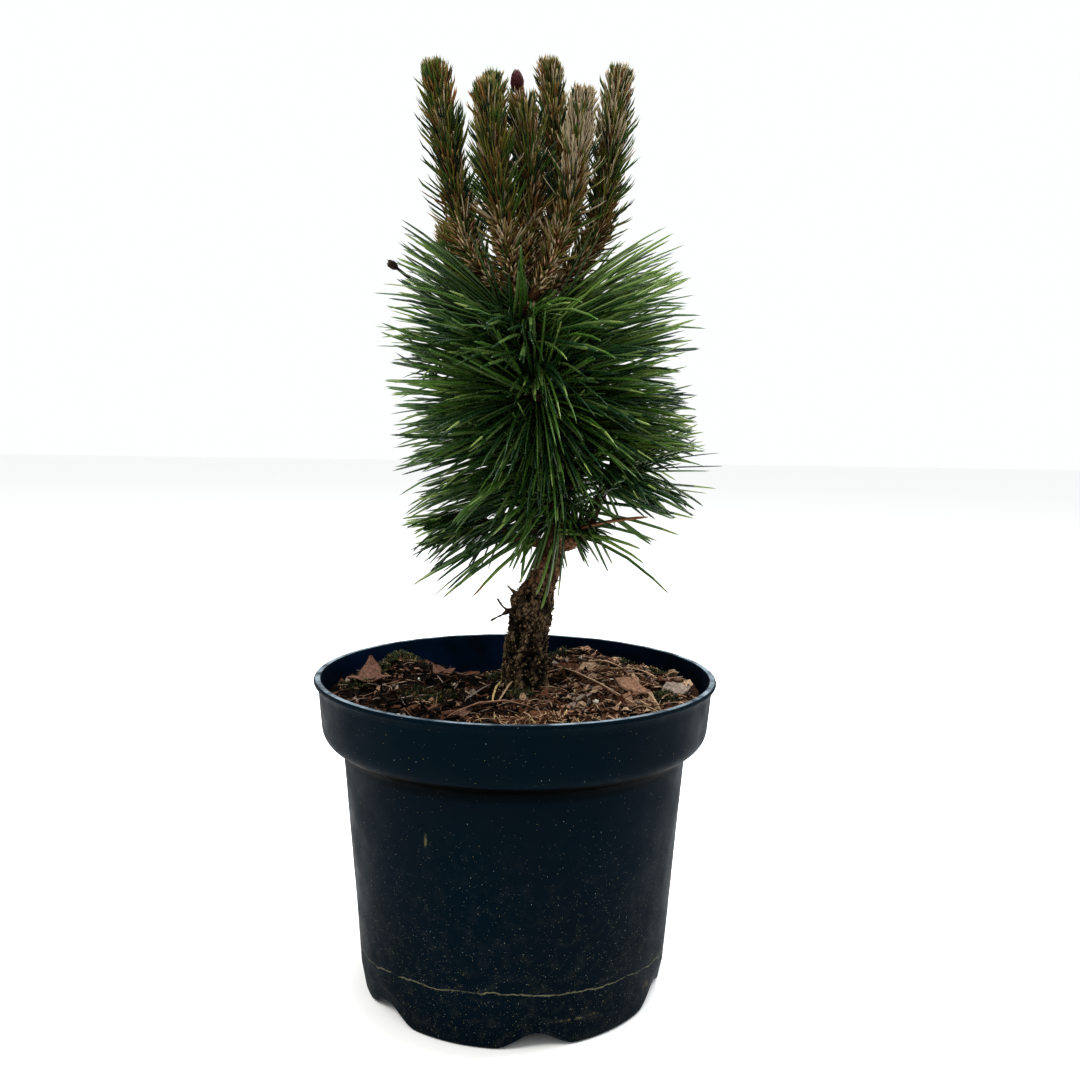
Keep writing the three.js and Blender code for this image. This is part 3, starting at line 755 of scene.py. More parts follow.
def soil_height(x, y):
    height = SOIL_LEVEL - SOIL_RIM_DROP * smooth(80, 108, np.hypot(x, y))
    for mx, my, reach, rise in MOUNDS:
        height = height + rise * np.exp(-((x - mx) ** 2 + (y - my) ** 2) / reach**2)
    return mix(SOIL_LEVEL, height, smooth(*FLAT_AT_TRUNK, from_trunk(x, y)))


def soil_surface(x, y):
    """The soil's height with its lumps."""
    p = np.stack([x, y, np.zeros_like(x)], -1)
    return soil_height(x, y) + layered(p, (1.3, 11, 3), (1.3, 5, 4), (0.9, 2.4, 5), (0.4, 1.2, 6))


def redness(x, y):
    """From 0 in the dark mossy soil on the left to 1 in the reddish bark on the right."""
    p = np.stack([x, y, np.zeros_like(x)], -1)
    return smooth(-14, 30, x + 14 * noise(p, 22, 8) - 0.25 * np.maximum(y - 20, 0))


DARK_SOIL = (0.003, 0.0022, 0.0018)
BROWN_SOIL = (0.040, 0.020, 0.012)
PALE_SOIL = (0.09, 0.055, 0.036)


def soil_colour(nodes):
    brown = nodes.mixed(nodes.patches((260, 5), 0.35, 0.65), DARK_SOIL, BROWN_SOIL)
    on_left = nodes.mixed(nodes.patches((150, 5), 0.45, 0.7), DARK_SOIL, brown)
    on_right = nodes.mixed(nodes.patches((500, 4), 0.55, 0.7), brown, PALE_SOIL)
    return nodes.mixed(nodes.placed(nodes.axes()[0], -20, 40), on_left, on_right)


soil_stuff = rough("soil_stuff", 0.04, soil_colour, (120,), 0.75, 1.0, (700, 6), 0.6)

SOIL_BOTTOM = 12.6
SOIL_SIDE_TOP = 162
SOIL_FOOT = [(85, 16), (80, SOIL_BOTTOM)]
SOIL_SIDES = 320
SOIL_RINGS = 120
SOIL_SIDE_GAP = 1.6


def make_soil():
    turn = even_turns(SOIL_SIDES)
    radii = column([1.0, *np.linspace(1.6, SOIL_RADIUS, SOIL_RINGS)])
    surface = around_rings(radii, 0.0, turn)
    x, y, _ = surface.reshape(-1, 3).T
    surface[..., 2] = soil_surface(x, y).reshape(len(radii), -1)
    edge = collar_edge(POT_WALL + SOIL_SIDE_GAP)
    side_profile = [(SOIL_RADIUS, SOIL_SIDE_TOP), *reversed(edge), *SOIL_FOOT]
    radius, height = np.array(side_profile).T[:, :, None]
    side = around_rings(radius, np.minimum(height, surface[-1, :, 2] - 2), turn)
    rings = np.concatenate([surface, side])[::-1]
    points = np.vstack([rings.reshape(-1, 3), (0, 0, SOIL_BOTTOM), (0, 0, SOIL_LEVEL)])
    parts = Parts()
    parts.add(points, closed_faces(len(rings), SOIL_SIDES), [0, 0, 0])
    return parts.mesh("soil_body", [soil_stuff.material])


put("soil_body", make_soil(), "soil", "soil")


# Loose matter on the soil. Its places are spread by chance within the rim, clear of the trunk
LITTER_EDGE = 105.0
LITTER_CLEAR_OF_TRUNK = 13.0


def spread_on_soil(random, count):
    place = np.empty((0, 2))
    while len(place) < count:
        tried = random.uniform(-LITTER_EDGE, LITTER_EDGE, (4 * count, 2))
        inside = np.hypot(*tried.T) < LITTER_EDGE
        place = np.vstack([place, tried[inside & (from_trunk(*tried.T) > LITTER_CLEAR_OF_TRUNK)]])
    return place[:count]


def on_soil(place, above=0.0):
    return np.column_stack([place, soil_surface(place[:, 0], place[:, 1]) + above])


def spot_on_soil(x, y, above):
    return on_soil(np.array([[x, y]], float), above)[0]


def spun(random, n, tilt):
    """Frames that lie flat within a tilt, one for each of n things."""
    first = unit(random.uniform(0, 360, n), random.normal(0, tilt, n))
    level = normalised(np.cross(UP, first))
    second = turned(level, np.cross(first, level), np.radians(random.normal(0, tilt, n)))
    return first, second, np.cross(first, second)


def in_frame(x, y, z, directions):
    """Places from their values along three directions, which each thing has for itself."""
    return sum(column(value) * way[:, None] for value, way in zip((x, y, z), directions))


LITTER_COLOURS = [
    ("litter_black", (0.0028, 0.0022, 0.0020)),
    ("litter_dark", (0.014, 0.009, 0.006)),
    ("litter_brown", (0.070, 0.034, 0.019)),
    ("litter_red", (0.095, 0.042, 0.024)),
    ("litter_rose", (0.21, 0.125, 0.082)),
    ("litter_tan", (0.31, 0.215, 0.14)),
    ("litter_grey", (0.19, 0.15, 0.125)),
    ("litter_white", (0.55, 0.52, 0.44)),
    ("litter_yellow", (0.36, 0.28, 0.13)),
    ("litter_leaf", (0.115, 0.064, 0.046)),
]


# A chip's colour runs between two shares of it, in fine grain
LITTER_SHADES = (0.55, 1.3)


def grained(name, colour):
    nodes = plain(name, colour, 0.85, 0.1, 0.06)
    shades = [tuple(c * share for c in colour) for share in LITTER_SHADES]
    grain = nodes.patches((650, 5, 0.65), 0.35, 0.65)
    nodes.give(nodes.shader, {"Base Color": nodes.mixed(grain, *shades)})
    return nodes.material


litter_materials = [grained(name, colour) for name, colour in LITTER_COLOURS]
BROWN, RED, ROSE, TAN, GREY, WHITE, YELLOW, LEAF = range(2, len(LITTER_COLOURS))


def litter_tones(random, place, left, right):
    """Tones by side: weights for the dark left and the reddish right."""
    n = len(place)
    on_right = random.random(n) < redness(*place.T)
    tones_left, tones_right = (random.choice(len(w), n, p=np.array(w) / sum(w)) for w in (left, right))
    return np.where(on_right, tones_right, tones_left)


def ball_pattern():
    """An icosahedron's points and faces."""
    t = (1 + 5**0.5) / 2
    points = [(-1, t, 0), (1, t, 0), (-1, -t, 0), (1, -t, 0), (0, -1, t), (0, 1, t)]
    points += [(0, -1, -t), (0, 1, -t), (t, 0, -1), (t, 0, 1), (-t, 0, -1), (-t, 0, 1)]
    faces = [(0, 11, 5), (0, 5, 1), (0, 1, 7), (0, 7, 10), (0, 10, 11), (1, 5, 9), (5, 11, 4)]
    faces += [(11, 10, 2), (10, 7, 6), (7, 1, 8), (3, 9, 4), (3, 4, 2), (3, 2, 6), (3, 6, 8)]
    faces += [(3, 8, 9), (4, 9, 5), (2, 4, 11), (6, 2, 10), (8, 6, 7), (9, 8, 1)]
    return normalised(np.array(points)), np.array(faces)


def add_lumps(parts, random, places, sizes, tones, squat=0.7):
    points, faces = ball_pattern()
    n = len(places)
    directions = spun(random, n, 40)
    shape = points[None] * random.uniform(0.65, 1.2, (n, len(points), 1))
    shape = shape * np.stack([np.ones(n), random.uniform(0.5, 0.9, n), np.full(n, squat)], 1)[:, None]
    body = in_frame(*np.moveaxis(shape, -1, 0), directions)
    parts.add(places[:, None] + body * column(column(sizes)), [faces], [tones[:, None]])


CHIP_SIDES = 6


def add_chips(parts, random, places, sizes, tones, tilt):
    """Flat irregular chips, which curl along their length."""
    each = (len(places), CHIP_SIDES)
    directions = spun(random, len(places), tilt)
    turn = even_turns(CHIP_SIDES) + random.uniform(-0.35, 0.35, each)
    far = random.uniform(0.6, 1.15, each)
    slim = column(random.uniform(0.3, 0.75, len(places)))
    x, y = far * np.cos(turn), far * np.sin(turn) * slim
    curl = column(random.uniform(-0.25, 0.35, len(places))) * x * x
    half = column(random.uniform(0.08, 0.2, len(places))) / 2
    layers = [in_frame(x, y, z, directions) for z in (curl - half, curl + half)]
    points = places[:, None] + np.concatenate(layers, 1) * column(column(sizes))
    foot = np.arange(CHIP_SIDES)[::-1][None]
    faces = [grid_faces(2, CHIP_SIDES), foot, foot[:, ::-1] + CHIP_SIDES]
    parts.add(points, faces, [tones[:, None]] * 3)


# How many grains and chips there are, how broad a chip may be, and the weights of the first seven
# tones on the left and on the right
GRAIN_COUNT = 5200
GRAIN_WEIGHTS = ((9, 7, 2.4, 0.6, 0.3, 0.3, 0.5), (3, 3.6, 3.6, 2.2, 3, 2.4, 1.1))
CHIP_COUNT = 1500
BROADEST_CHIP = 5.5
CHIP_WEIGHTS = ((7, 7, 3, 0.8, 0.5, 0.5, 0.8), (2.5, 3.2, 3.4, 2.2, 4, 3.4, 1.6))


def make_litter():
    parts = Parts()
    random = np.random.default_rng(21)
    place = spread_on_soil(random, GRAIN_COUNT)
    sizes = random.uniform(0.45, 1.6, GRAIN_COUNT) ** 1.3
    add_lumps(parts, random, on_soil(place, 0.2), sizes, litter_tones(random, place, *GRAIN_WEIGHTS))
    place = spread_on_soil(random, CHIP_COUNT)
    sizes = np.minimum(random.gamma(3.0, 0.82, CHIP_COUNT) + 0.8, BROADEST_CHIP)
    add_chips(parts, random, on_soil(place, 1.2), sizes, litter_tones(random, place, *CHIP_WEIGHTS), 34)
    return parts.mesh("soil_litter", litter_materials, flat=range(len(litter_materials)))


put("soil_litter", make_litter(), "soil")


# Fibres, dry needles and twigs that lie about, bent by a share of their length at most
STRAND_BEND = 0.18


def add_strands(parts, random, middles, lengths, widths, tones, tilt=12):
    n = len(middles)
    ways = unit(random.uniform(0, 360, n), random.normal(0, tilt, n))
    roots = middles - ways * column(lengths) / 2
    aside = square_to(ways, random.uniform(0, FULL_TURN, n))
    bows = aside * column(lengths * random.uniform(-STRAND_BEND, STRAND_BEND, n))
    bows[:, 2] = np.abs(bows[:, 2])
    sides = square_to(ways, random.uniform(0, FULL_TURN, n))
    add_needles(parts, roots, ways, sides, lengths, widths, bows, tones, tones, tones)


# Single pieces that the photograph shows: foot, tip, bow sideways, bow upwards, width and tone
LYING_NEEDLES = [
    ((22, 42), (69, -47), 4, 5, 1.3, TAN),
    ((24, 44), (66, -49), 1, 4, 1.0, ROSE),
    ((11, -22), (27, -44), 0, 2, 1.3, RED),
    ((-37, -63), (15, -58), 9, 11, 1.5, ROSE),
    ((-40, -60), (18, -52), 11, 8, 1.4, RED),
    ((-12, -34), (-3, 8), -2, 5, 1.3, YELLOW),
    ((-9, -36), (1, 10), 2, 6, 1.2, TAN),
    ((-26, -26), (-8, 6), 1, 3, 1.3, GREY),
    ((-66, -30), (-42, -17), 2, 2, 2.0, GREY),
    ((-24, -62), (10, -70), 1, 2, 1.3, TAN),
    ((74, -12), (79, -48), 1, 3, 1.2, TAN),
    ((42, 52), (66, 46), 2, 4, 2.2, TAN),
    ((84, 20), (58, 40), 2, 3, 1.4, TAN),
]

# A tuft of fibres by the rim, and the strands that lie everywhere, clear of the rim
FIBRE_TUFT = (8, -79)
FIBRE_SPREAD = (10, 3)
FIBRES = 380
FIBRE_WIDTH = 0.8
STRANDS = 1300
STRANDS_WITHIN = 107
STRAND_WEIGHTS = ((4, 5, 3, 0.8, 0.6, 1, 1.2), (1, 1.5, 2, 3, 3, 4, 2))


def make_dry_strands():
    parts = Parts()
    random = np.random.default_rng(22)
    place = spread_on_soil(random, STRANDS)
    lengths = random.gamma(2.6, 3.0, STRANDS) + 2.5
    inside = np.hypot(*place.T) + lengths / 2 < STRANDS_WITHIN
    place, lengths = place[inside], lengths[inside]
    tones = litter_tones(random, place, *STRAND_WEIGHTS)
    widths = random.uniform(0.3, 0.9, len(place))
    add_strands(parts, random, on_soil(place, 1.4), lengths, widths, tones)
    place = FIBRE_TUFT + random.normal(0, 1, (FIBRES, 2)) * FIBRE_SPREAD
    tones = random.choice([TAN, YELLOW, BROWN, RED], FIBRES, p=(0.22, 0.14, 0.34, 0.3))
    lengths, widths = random.uniform(5, 12, FIBRES), np.full(FIBRES, FIBRE_WIDTH)
    add_strands(parts, random, on_soil(place, 2.2), lengths, widths, tones, 30)
    for foot, tip, aside, above, width, tone in LYING_NEEDLES:
        ends = on_soil(np.array([foot, tip], float), 1.6)
        length = np.linalg.norm(ends[1:] - ends[:1], axis=1)
        way = (ends[1:] - ends[:1]) / length
        across = np.cross(way, UP)
        bow = across * aside + UP * above
        tones = np.array([tone])
        add_needles(parts, ends[:1], way, across, length, np.array([width]), bow, tones, tone, tone)
    return parts.mesh("soil_strands", litter_materials)


put("soil_strands", make_dry_strands(), "soil")


# Moss: cushions of short green strands, at x, y and reach, and how many strands each has
MOSS_PATCHES = [
    (-73, 62, 17, 1100),
    (-88, 34, 14, 500),
    (-92, 2, 12, 400),
    (26, 84, 15, 700),
    (70, 74, 12, 300),
    (88, 44, 12, 350),
    (-12, 22, 10, 350),
    (3, -20, 9, 420),
    (-48, -20, 20, 350),
    (84, -22, 12, 280),
]
MOSS_COLOURS = [
    ("moss_dark", (0.012, 0.018, 0.008)),
    ("moss_green", (0.026, 0.036, 0.012)),
    ("moss_olive", (0.045, 0.044, 0.015)),
    ("moss_gold", (0.095, 0.080, 0.026)),
]
moss_materials = plain_set(MOSS_COLOURS, 0.85, 0.1, 0.2)
MOSS_SHARES = (0.34, 0.36, 0.2, 0.1)
MOSS_EDGE = 104
MOSS_CLEAR_OF_TRUNK = 12
MOSS_DOME = 3.5
MOSS_BOW = 0.5


def make_moss():
    parts = Parts()
    random = np.random.default_rng(23)
    for x, y, reach, count in MOSS_PATCHES:
        far = reach * np.sqrt(random.random(count)) * random.uniform(0.5, 1, count)
        place = (x, y) + unit(random.uniform(0, 360, count), 0)[:, :2] * column(far)
        kept = (np.hypot(*place.T) < MOSS_EDGE) & (from_trunk(*place.T) > MOSS_CLEAR_OF_TRUNK)
        place = place[kept]
        n = len(place)
        dome = MOSS_DOME * (1 - (np.hypot(place[:, 0] - x, place[:, 1] - y) / reach) ** 2)
        roots = on_soil(place) + UP * column(random.random(n) * dome)
        ways = unit(random.uniform(0, 360, n), random.uniform(5, 80, n))
        lengths = random.uniform(1.2, 3.2, n)
        widths = random.uniform(0.5, 0.9, n)
        tones = random.choice(len(MOSS_SHARES), n, p=MOSS_SHARES)
        bows = square_to(ways, random.uniform(0, NEARLY_A_TURN, n)) * MOSS_BOW
        sides = square_to(ways, random.uniform(0, NEARLY_A_TURN, n))
        add_needles(parts, roots, ways, sides, lengths, widths, bows, tones, tones, tones, short=True)
    return parts.mesh("soil_moss", moss_materials)


put("soil_moss", make_moss(), "soil")


# Pale grains: x, y, radius and tone
GRAINS = [
    (-77, 4, 1.7, WHITE),
    (-57.5, 11.5, 1.5, WHITE),
    (-36, 5.5, 1.3, WHITE),
    (-45, -34, 2.2, ROSE),
    (33.5, -14, 2.1, YELLOW),
    (56.6, 8.7, 1.9, WHITE),
    (45, -33, 2.0, WHITE),
    (62, -54, 1.6, WHITE),
    (-15, -24, 1.3, YELLOW),
    (30, -30, 1.5, TAN),
    (93, 10, 1.4, WHITE),
    (40, 60, 1.5, WHITE),
    (-20, 60, 1.4, WHITE),
    (-60, -60, 1.4, WHITE),
]

# Dry leaves and one broad scale of bark: x, y, the azimuth that the tip points to, length, width,
# how high the tip stands, how the sides curl up, and tone
LEAVES = [
    (-86, 8, 96, 22, 20, 11.5, 3, LEAF),
    (-47, 26, 130, 17, 12, 5, 2, LEAF),
    (46, 22, 20, 22, 11, 3, 1, ROSE),
    (-30, -58, 200, 16, 8, 2, 1, LEAF),
]

# Plates of bark that lie tilted: x, y, how far the back edge is raised, tone, and corners
PLATES = [
    (66, -15, 6, ROSE, [(-9, 4), (-6, -2), (2, -5), (10, -6), (7, -1), (2, 5), (-4, 5)]),
    (91, -6, 5, GREY, [(-8, -3), (0, -6), (8, -2), (6, 4), (-4, 5)]),
    (30, 34, 4, RED, [(-6, -4), (5, -5), (8, 2), (0, 4), (-7, 2)]),
    (12, -66, 2, RED, [(-8, -3), (4, -4), (9, 1), (-2, 4)]),
]


# Broad chips: x, y, size and tone
BROAD_CHIPS = [
    (95, -2, 8, GREY),
    (52, 26, 7, BROWN),
    (88, 10, 6, RED),
    (60, -30, 6, ROSE),
    (-28, 40, 7, BROWN),
    (-60, 34, 6, ROSE),
    (44, 44, 8, TAN),
]

# A plate's rings from its middle to its lower edge: their size, and how far they are worn down
PLATE_RINGS = [(0.25, 0), (0.5, 0), (0.75, 0), (0.93, -0.1), (1.0, -0.7), (0.97, -1.5)]
PLATE_EDGE_STEPS = 6


def add_plate(parts, middle, raised, corners, tone):
    """A flat scrap of bark with a worn edge and a grain, thicker than a leaf."""
    corner = np.array(corners, float)
    deep = np.ptp(corner[:, 1])
    share = np.linspace(0, 1, PLATE_EDGE_STEPS, endpoint=False)[:, None]
    edge = np.concatenate([mix(a, b, share) for a, b in zip(corner, np.roll(corner, -1, 0))])
    edge = edge * column(1 + 0.09 * noise(np.column_stack([edge, 0 * edge[:, 0]]), 1.7, 15))
    n = len(edge)
    rings = np.concatenate([edge * size for size, _ in PLATE_RINGS])
    flat = np.column_stack([rings, np.zeros(len(rings))])
    worn = np.repeat([wear for _, wear in PLATE_RINGS], n)
    grain = layered(flat + middle, (0.8, np.array([1.2, 4.0, 1]), 16), (0.5, 5.0, 17))
    flat[:, 2] = raised * (flat[:, 1] / deep + 0.5) + grain + worn
    points = middle + np.vstack([flat, [(0, 0, raised / 2 + 0.2), (0, 0, raised / 2 - 1.5)]])
    faces = [pattern[:, ::-1] for pattern in closed_faces(len(PLATE_RINGS), n)]
    parts.add(points, faces, [tone] * 3)


LEAF_ROWS = 15
LEAF_COLUMNS = 9
LEAF_THICKNESS = 0.35


def leaf_rim():
    """The numbers of a leaf's outermost points, in their order round it."""
    numbers = np.arange(LEAF_ROWS * LEAF_COLUMNS).reshape(LEAF_ROWS, LEAF_COLUMNS)
    return np.concatenate([numbers[0], numbers[1:, -1], numbers[-1, -2::-1], numbers[-2:0:-1, 0]])


def add_leaf(parts, middle, way, length, width, tip_rise, curl, tone):
    """A dry leaf: a thin curled blade with a pointed outline whose tip stands up."""
    along, across = np.linspace(0, 1, LEAF_ROWS), np.linspace(-1, 1, LEAF_COLUMNS)
    outline = 1.5 * smooth(-0.05, 0.2, along) * (1 - along) ** 1.3
    outline = column(outline * (1 + 0.22 * np.sin(13 * along)) + 0.03)
    s, c = np.meshgrid(along, across, indexing="ij")
    side = np.array([-way[1], way[0], 0])
    rise = tip_rise * smooth(0.35, 1, s) + curl * np.abs(c) ** 1.5 * outline - 0.6 * np.cos(5 * c + 3 * s)
    flat = way * column((s - 0.5) * length) + side * column(c * outline * width / 2)
    rise = rise + 1.3 * noise(flat.reshape(-1, 3) + middle, 3.5, 14).reshape(rise.shape)
    sheet = middle + flat + UP * column(rise)
    both = np.stack([sheet, sheet - UP * LEAF_THICKNESS]).reshape(-1, 3)
    faces = grid_faces(LEAF_ROWS, LEAF_COLUMNS, closed=False)
    under = LEAF_ROWS * LEAF_COLUMNS
    rim = leaf_rim()
    onward = np.roll(rim, -1)
    walls = np.stack([rim, rim + under, onward + under, onward], 1)
    parts.add(both, [faces[:, ::-1], faces + under, walls], [tone] * 3)


def make_scraps():
    parts = Parts()
    random = np.random.default_rng(24)
    grains, chips = np.array(GRAINS), np.array(BROAD_CHIPS, float)
    add_lumps(parts, random, on_soil(grains[:, :2], 1.6), grains[:, 2], grains[:, 3].astype(int), 0.9)
    for x, y, aim, length, width, rise, curl, tone in LEAVES:
        add_leaf(parts, spot_on_soil(x, y, 2.5), unit(aim, 0), length, width, rise, curl, tone)
    for x, y, raised, tone, corners in PLATES:
        add_plate(parts, spot_on_soil(x, y, 2), raised, corners, tone)
    add_chips(parts, random, on_soil(chips[:, :2], 3), chips[:, 2], chips[:, 3].astype(int), 16)
    return parts.mesh("soil_scraps", litter_materials, flat=range(len(litter_materials)))


put("soil_scraps", make_scraps(), "soil")


# The trunk
stem = Curve(STEM_POINTS)
stem_radii = np.array([p[3] for p in STEM_POINTS])
stem_shares = np.linspace(0, 1, 3000)
stem_heights = stem.point(stem_shares)[:, 2]


def stem_radius(share):
    last = len(stem_radii) - 1
    return np.interp(np.asarray(share) * last, np.arange(last + 1), stem_radii)


def stem_share_at(height):
    return np.interp(height, stem_heights, stem_shares)


def swallowed(centres, spokes, radii, ball, ball_radius):
    """Radii grown to where a ball stands out further than the limb."""
    to_ball = (ball - centres)[:, None]
    along = (to_ball * spokes).sum(-1)
    square = ball_radius**2 - (to_ball**2).sum(-1) + along**2
    half = np.sqrt(np.maximum(square, 0))
    joined = (square > 0) & (along - half < radii)
    return np.maximum(radii, np.where(joined, along + half, 0))


# Plates and furrows of the bark, longer than they are wide
OLD_PLATE_SIZE = np.array([2.3, 2.3, 3.7])
NEW_PLATE_SIZE = np.array([2.0, 2.0, 3.4])
FURROW_SIZE = np.array([5.0, 5.0, 13.0])


def bark_relief(points, coarse):
    """The bark's height and how deep in a crack each point lies. Coarse is 1 on old bark and 0 on young."""
    warp = np.stack([0.9 * noise(points, 2.4, seed) for seed in (21, 22, 23)], 1)
    old_edge, old_offset, old_own = cells(points + warp, OLD_PLATE_SIZE, 1)
    new_edge, new_offset, new_own = cells(points + warp, NEW_PLATE_SIZE, 2)
    furrow = smooth(0.05, 0.5, np.abs(noise(points + 2 * warp, FURROW_SIZE, 6)))
    old = 0.9 * smooth(0, 0.22, old_edge) + 1.5 * old_own - 0.7 * old_offset[:, 2] + 2.6 * (furrow - 0.6)
    new = 0.7 * smooth(0, 0.35, new_edge) + 0.7 * new_own - 0.6 * new_offset[:, 2]
    fine = layered(points, (0.6, 1.5, 3), (0.4, 0.8, 4))
    deep = np.maximum(1 - smooth(0.02, 0.22, old_edge), 1 - smooth(0.02, 0.5, furrow))
    crack = mix(1 - smooth(0.02, 0.2, new_edge), deep, coarse)
    return mix(new - 0.6, old - 1.5, coarse) + fine * mix(0.6, 1, coarse), crack


BARK_CRACK_AND_SHADE = (0.003, 0.002, 0.0015)
BARK_BROWN = (0.030, 0.017, 0.010)
BARK_PALE = (0.34, 0.215, 0.13)
BARK_RED = (0.27, 0.118, 0.055)
BARK_GREY = (0.27, 0.195, 0.12)
LICHEN = (0.12, 0.11, 0.035)


# Heights between which young bark begins, lichen ends and the crown's painted shade begins, and the
# shape of the bark's grain, which is longer upwards
YOUNG_BARK_FROM = (222, 245)
LICHEN_HEIGHTS = (170, 235)
SHADED_FROM = (257, 274)
ALONG_BARK = (1, 1, 0.5)


def bark_colour(nodes):
    aside, _, height = nodes.axes()
    old = nodes.mixed(nodes.patches((420, 5, 0.6, ALONG_BARK), 0.35, 0.68), BARK_BROWN, BARK_GREY)
    new = nodes.mixed(nodes.patches((520, 5, 0.6, ALONG_BARK), 0.35, 0.68), BARK_RED, BARK_PALE)
    colour = nodes.mixed(nodes.placed(height, *YOUNG_BARK_FROM), old, new)
    low = nodes.placed(height, *LICHEN_HEIGHTS, 0.62, 0.0)
    left = nodes.placed(aside, -8, 14, 1.0, 0.25)
    where = nodes.times(nodes.times(low, left), nodes.patches((190, 5), 0.42, 0.6))
    colour = nodes.mixed(where, colour, LICHEN)
    # Painted shade of the crown: above these heights the bark darkens towards the cracks' near-black
    colour = nodes.mixed(nodes.placed(height, *SHADED_FROM, 0.0, 0.85), colour, BARK_CRACK_AND_SHADE)
    crack = nodes.node("Attribute", attribute_name="crack").outputs["Fac"]
    grime = nodes.patches((300, 5), 0.3, 0.75, 0.0, 0.55)
    blotch = nodes.patches((170, 3, 0.6, ALONG_BARK), 0.46, 0.56, 0.0, 0.85)
    deepest = nodes.math("MAXIMUM", nodes.math("MAXIMUM", crack, grime), blotch)
    return nodes.mixed(deepest, colour, BARK_CRACK_AND_SHADE)


bark = rough("bark", 0.06, bark_colour, (200,), 0.75, 0.98, (1100, 5, 0.7, ALONG_BARK), 0.35)

FLAKE_COLOURS = [
    ("bark_flake_tan", (0.24, 0.15, 0.09)),
    ("bark_flake_moss", (0.15, 0.135, 0.050)),
    ("bark_flake_dark", (0.022, 0.013, 0.009)),
]
flake_materials = plain_set(FLAKE_COLOURS, 0.85, 0.1, 0.2)


def add_bark_limb(parts, curve, shares, radii, sides, coarse, depth):
    """A limb with bark relief. Returns how deep in a crack each of its points lies."""
    centres, first, second = frames_along(curve, shares)
    spokes = turned(first[:, None], second[:, None], even_turns(sides))
    radii = np.repeat(radii[:, None], sides, 1)
    for ball, size in ((KNOB, KNOB_RADIUS), (FORK, FORK_RADIUS)):
        radii = swallowed(centres, spokes, radii, ball, size)
    flat = (centres[:, None] + spokes * radii[..., None]).reshape(-1, 3)
    broad = np.repeat(coarse, sides)
    height, crack = bark_relief(flat, broad)
    lumps = 0.55 * noise(flat, 9, 9) * broad + 0.3 * noise(flat, 5, 10)
    add_tube(parts, centres, first, second, radii + ((height + lumps) * depth).reshape(radii.shape))
    return [crack, np.zeros(2)]


def on_surface(curve, share, radii, turn):
    """Places on a limb, and the directions along it and out from it there."""
    centres, first, second = frames_along(curve, share)
    out = turned(first, second, turn)
    return centres + out * column(radii), curve.tangent(share), out


def with_cracks(mesh, cracks):
    """Writes how deep in a crack each point lies, for the material."""
    values = np.concatenate(cracks)
    values = np.concatenate([values, np.zeros(len(mesh.vertices) - len(values))])
    mesh.attributes.new("crack", "FLOAT", "POINT").data.foreach_set("value", values.astype(np.float32))
    return mesh


# How finely the trunk and its spurs are made, and how high their relief stands
TRUNK_RINGS = 430
TRUNK_SIDES = 128
TRUNK_RELIEF = 0.55
GRAFT_BLEND = 6
SPUR_RINGS = 16
SPUR_RADII = (1.25, 0.3)
SPUR_RELIEF = 0.25

# Flakes on old and on young bark: lowest and highest place, count, size, lift, and the tones' shares
FLAKES = [
    (174, 232, 1100, 1.6, 0.7, (0.5, 0.2, 0.12, 0.18)),
    (228, 388, 1700, 2.1, 0.9, (0.55, 0.25, 0, 0.2)),
]
FLAKE_DEPTH = 0.3


def make_trunk():
    parts = Parts()
    random = np.random.default_rng(31)
    rings = np.linspace(0, 1, TRUNK_RINGS)
    coarse = 1 - smooth(GRAFT_HEIGHT - GRAFT_BLEND, GRAFT_HEIGHT + GRAFT_BLEND, stem.point(rings)[:, 2])
    cracks = add_bark_limb(parts, stem, rings, stem_radius(rings), TRUNK_SIDES, coarse, TRUNK_RELIEF)
    shares = np.linspace(0, 1, SPUR_RINGS)
    for points in SPURS:
        radii = mix(*SPUR_RADII, shares) * (1 + 0.25 * np.sin(9 * shares))
        cracks += add_bark_limb(parts, Curve(points), shares, radii, 10, 0 * shares, SPUR_RELIEF)
    for low, high, count, size, lift, tone_shares in FLAKES:
        share = stem_share_at(random.uniform(low, high, count))
        turn = random.uniform(0, FULL_TURN, count)
        places, up, out = on_surface(stem, share, stem_radius(share), turn)
        way = normalised(up + 0.5 * random.normal(0, 1, (count, 3)))
        lengths = size * random.uniform(0.6, 1.5, count)
        widths = lengths * random.uniform(0.4, 0.9, count)
        lifts = lift * random.uniform(-0.2, 1.6, count)
        tones = random.choice(4, count, p=tone_shares)
        add_scales(parts, places - FLAKE_DEPTH * out, way, out, lengths, widths, lifts, tones)
    return with_cracks(parts.mesh("trunk_bark", [bark.material, *flake_materials]), cracks)


put("trunk_bark", make_trunk(), "bark", "trunk")


# Boughs, and the twigs that go straight on from their tips. A bough starts inside the stem, at a
# share of its radius, bends at a share of its reach and ends a little past it
BOUGH_START = 0.6
BOUGH_BEND = 0.6
BOUGH_END = 2
TWIG_LENGTH = 18
TWIG_TIP_RADIUS = 1.5
BOUGH_COLLAR = 1.2
BOUGH_RINGS = 90
BOUGH_SIDES = 26
BOUGH_RELIEF = 0.4
BOUGH_FLAKES = 170


def bough_curve(name):
    height, azimuth, reach, rise, *_ = BOUGHS[name]
    share = stem_share_at(height)
    out = unit(azimuth, 0)
    start = stem.point(share)[0] + out * (stem_radius(share) * BOUGH_START)
    bend, tip = start + out * BOUGH_BEND * reach, start + out * (reach + BOUGH_END) + UP * rise
    t = column(np.linspace(0, 1, 9))
    return Curve((1 - t) ** 2 * start + 2 * t * (1 - t) * bend + t**2 * tip)


def with_twig(curve):
    """A bough's curve, carried on straight from its tip."""
    tip, way = curve.point(1)[0], curve.tangent(1)[0]
    return Curve([*curve.point(np.linspace(0, 1, 7)), tip + way * TWIG_LENGTH / 2, tip + way * TWIG_LENGTH])


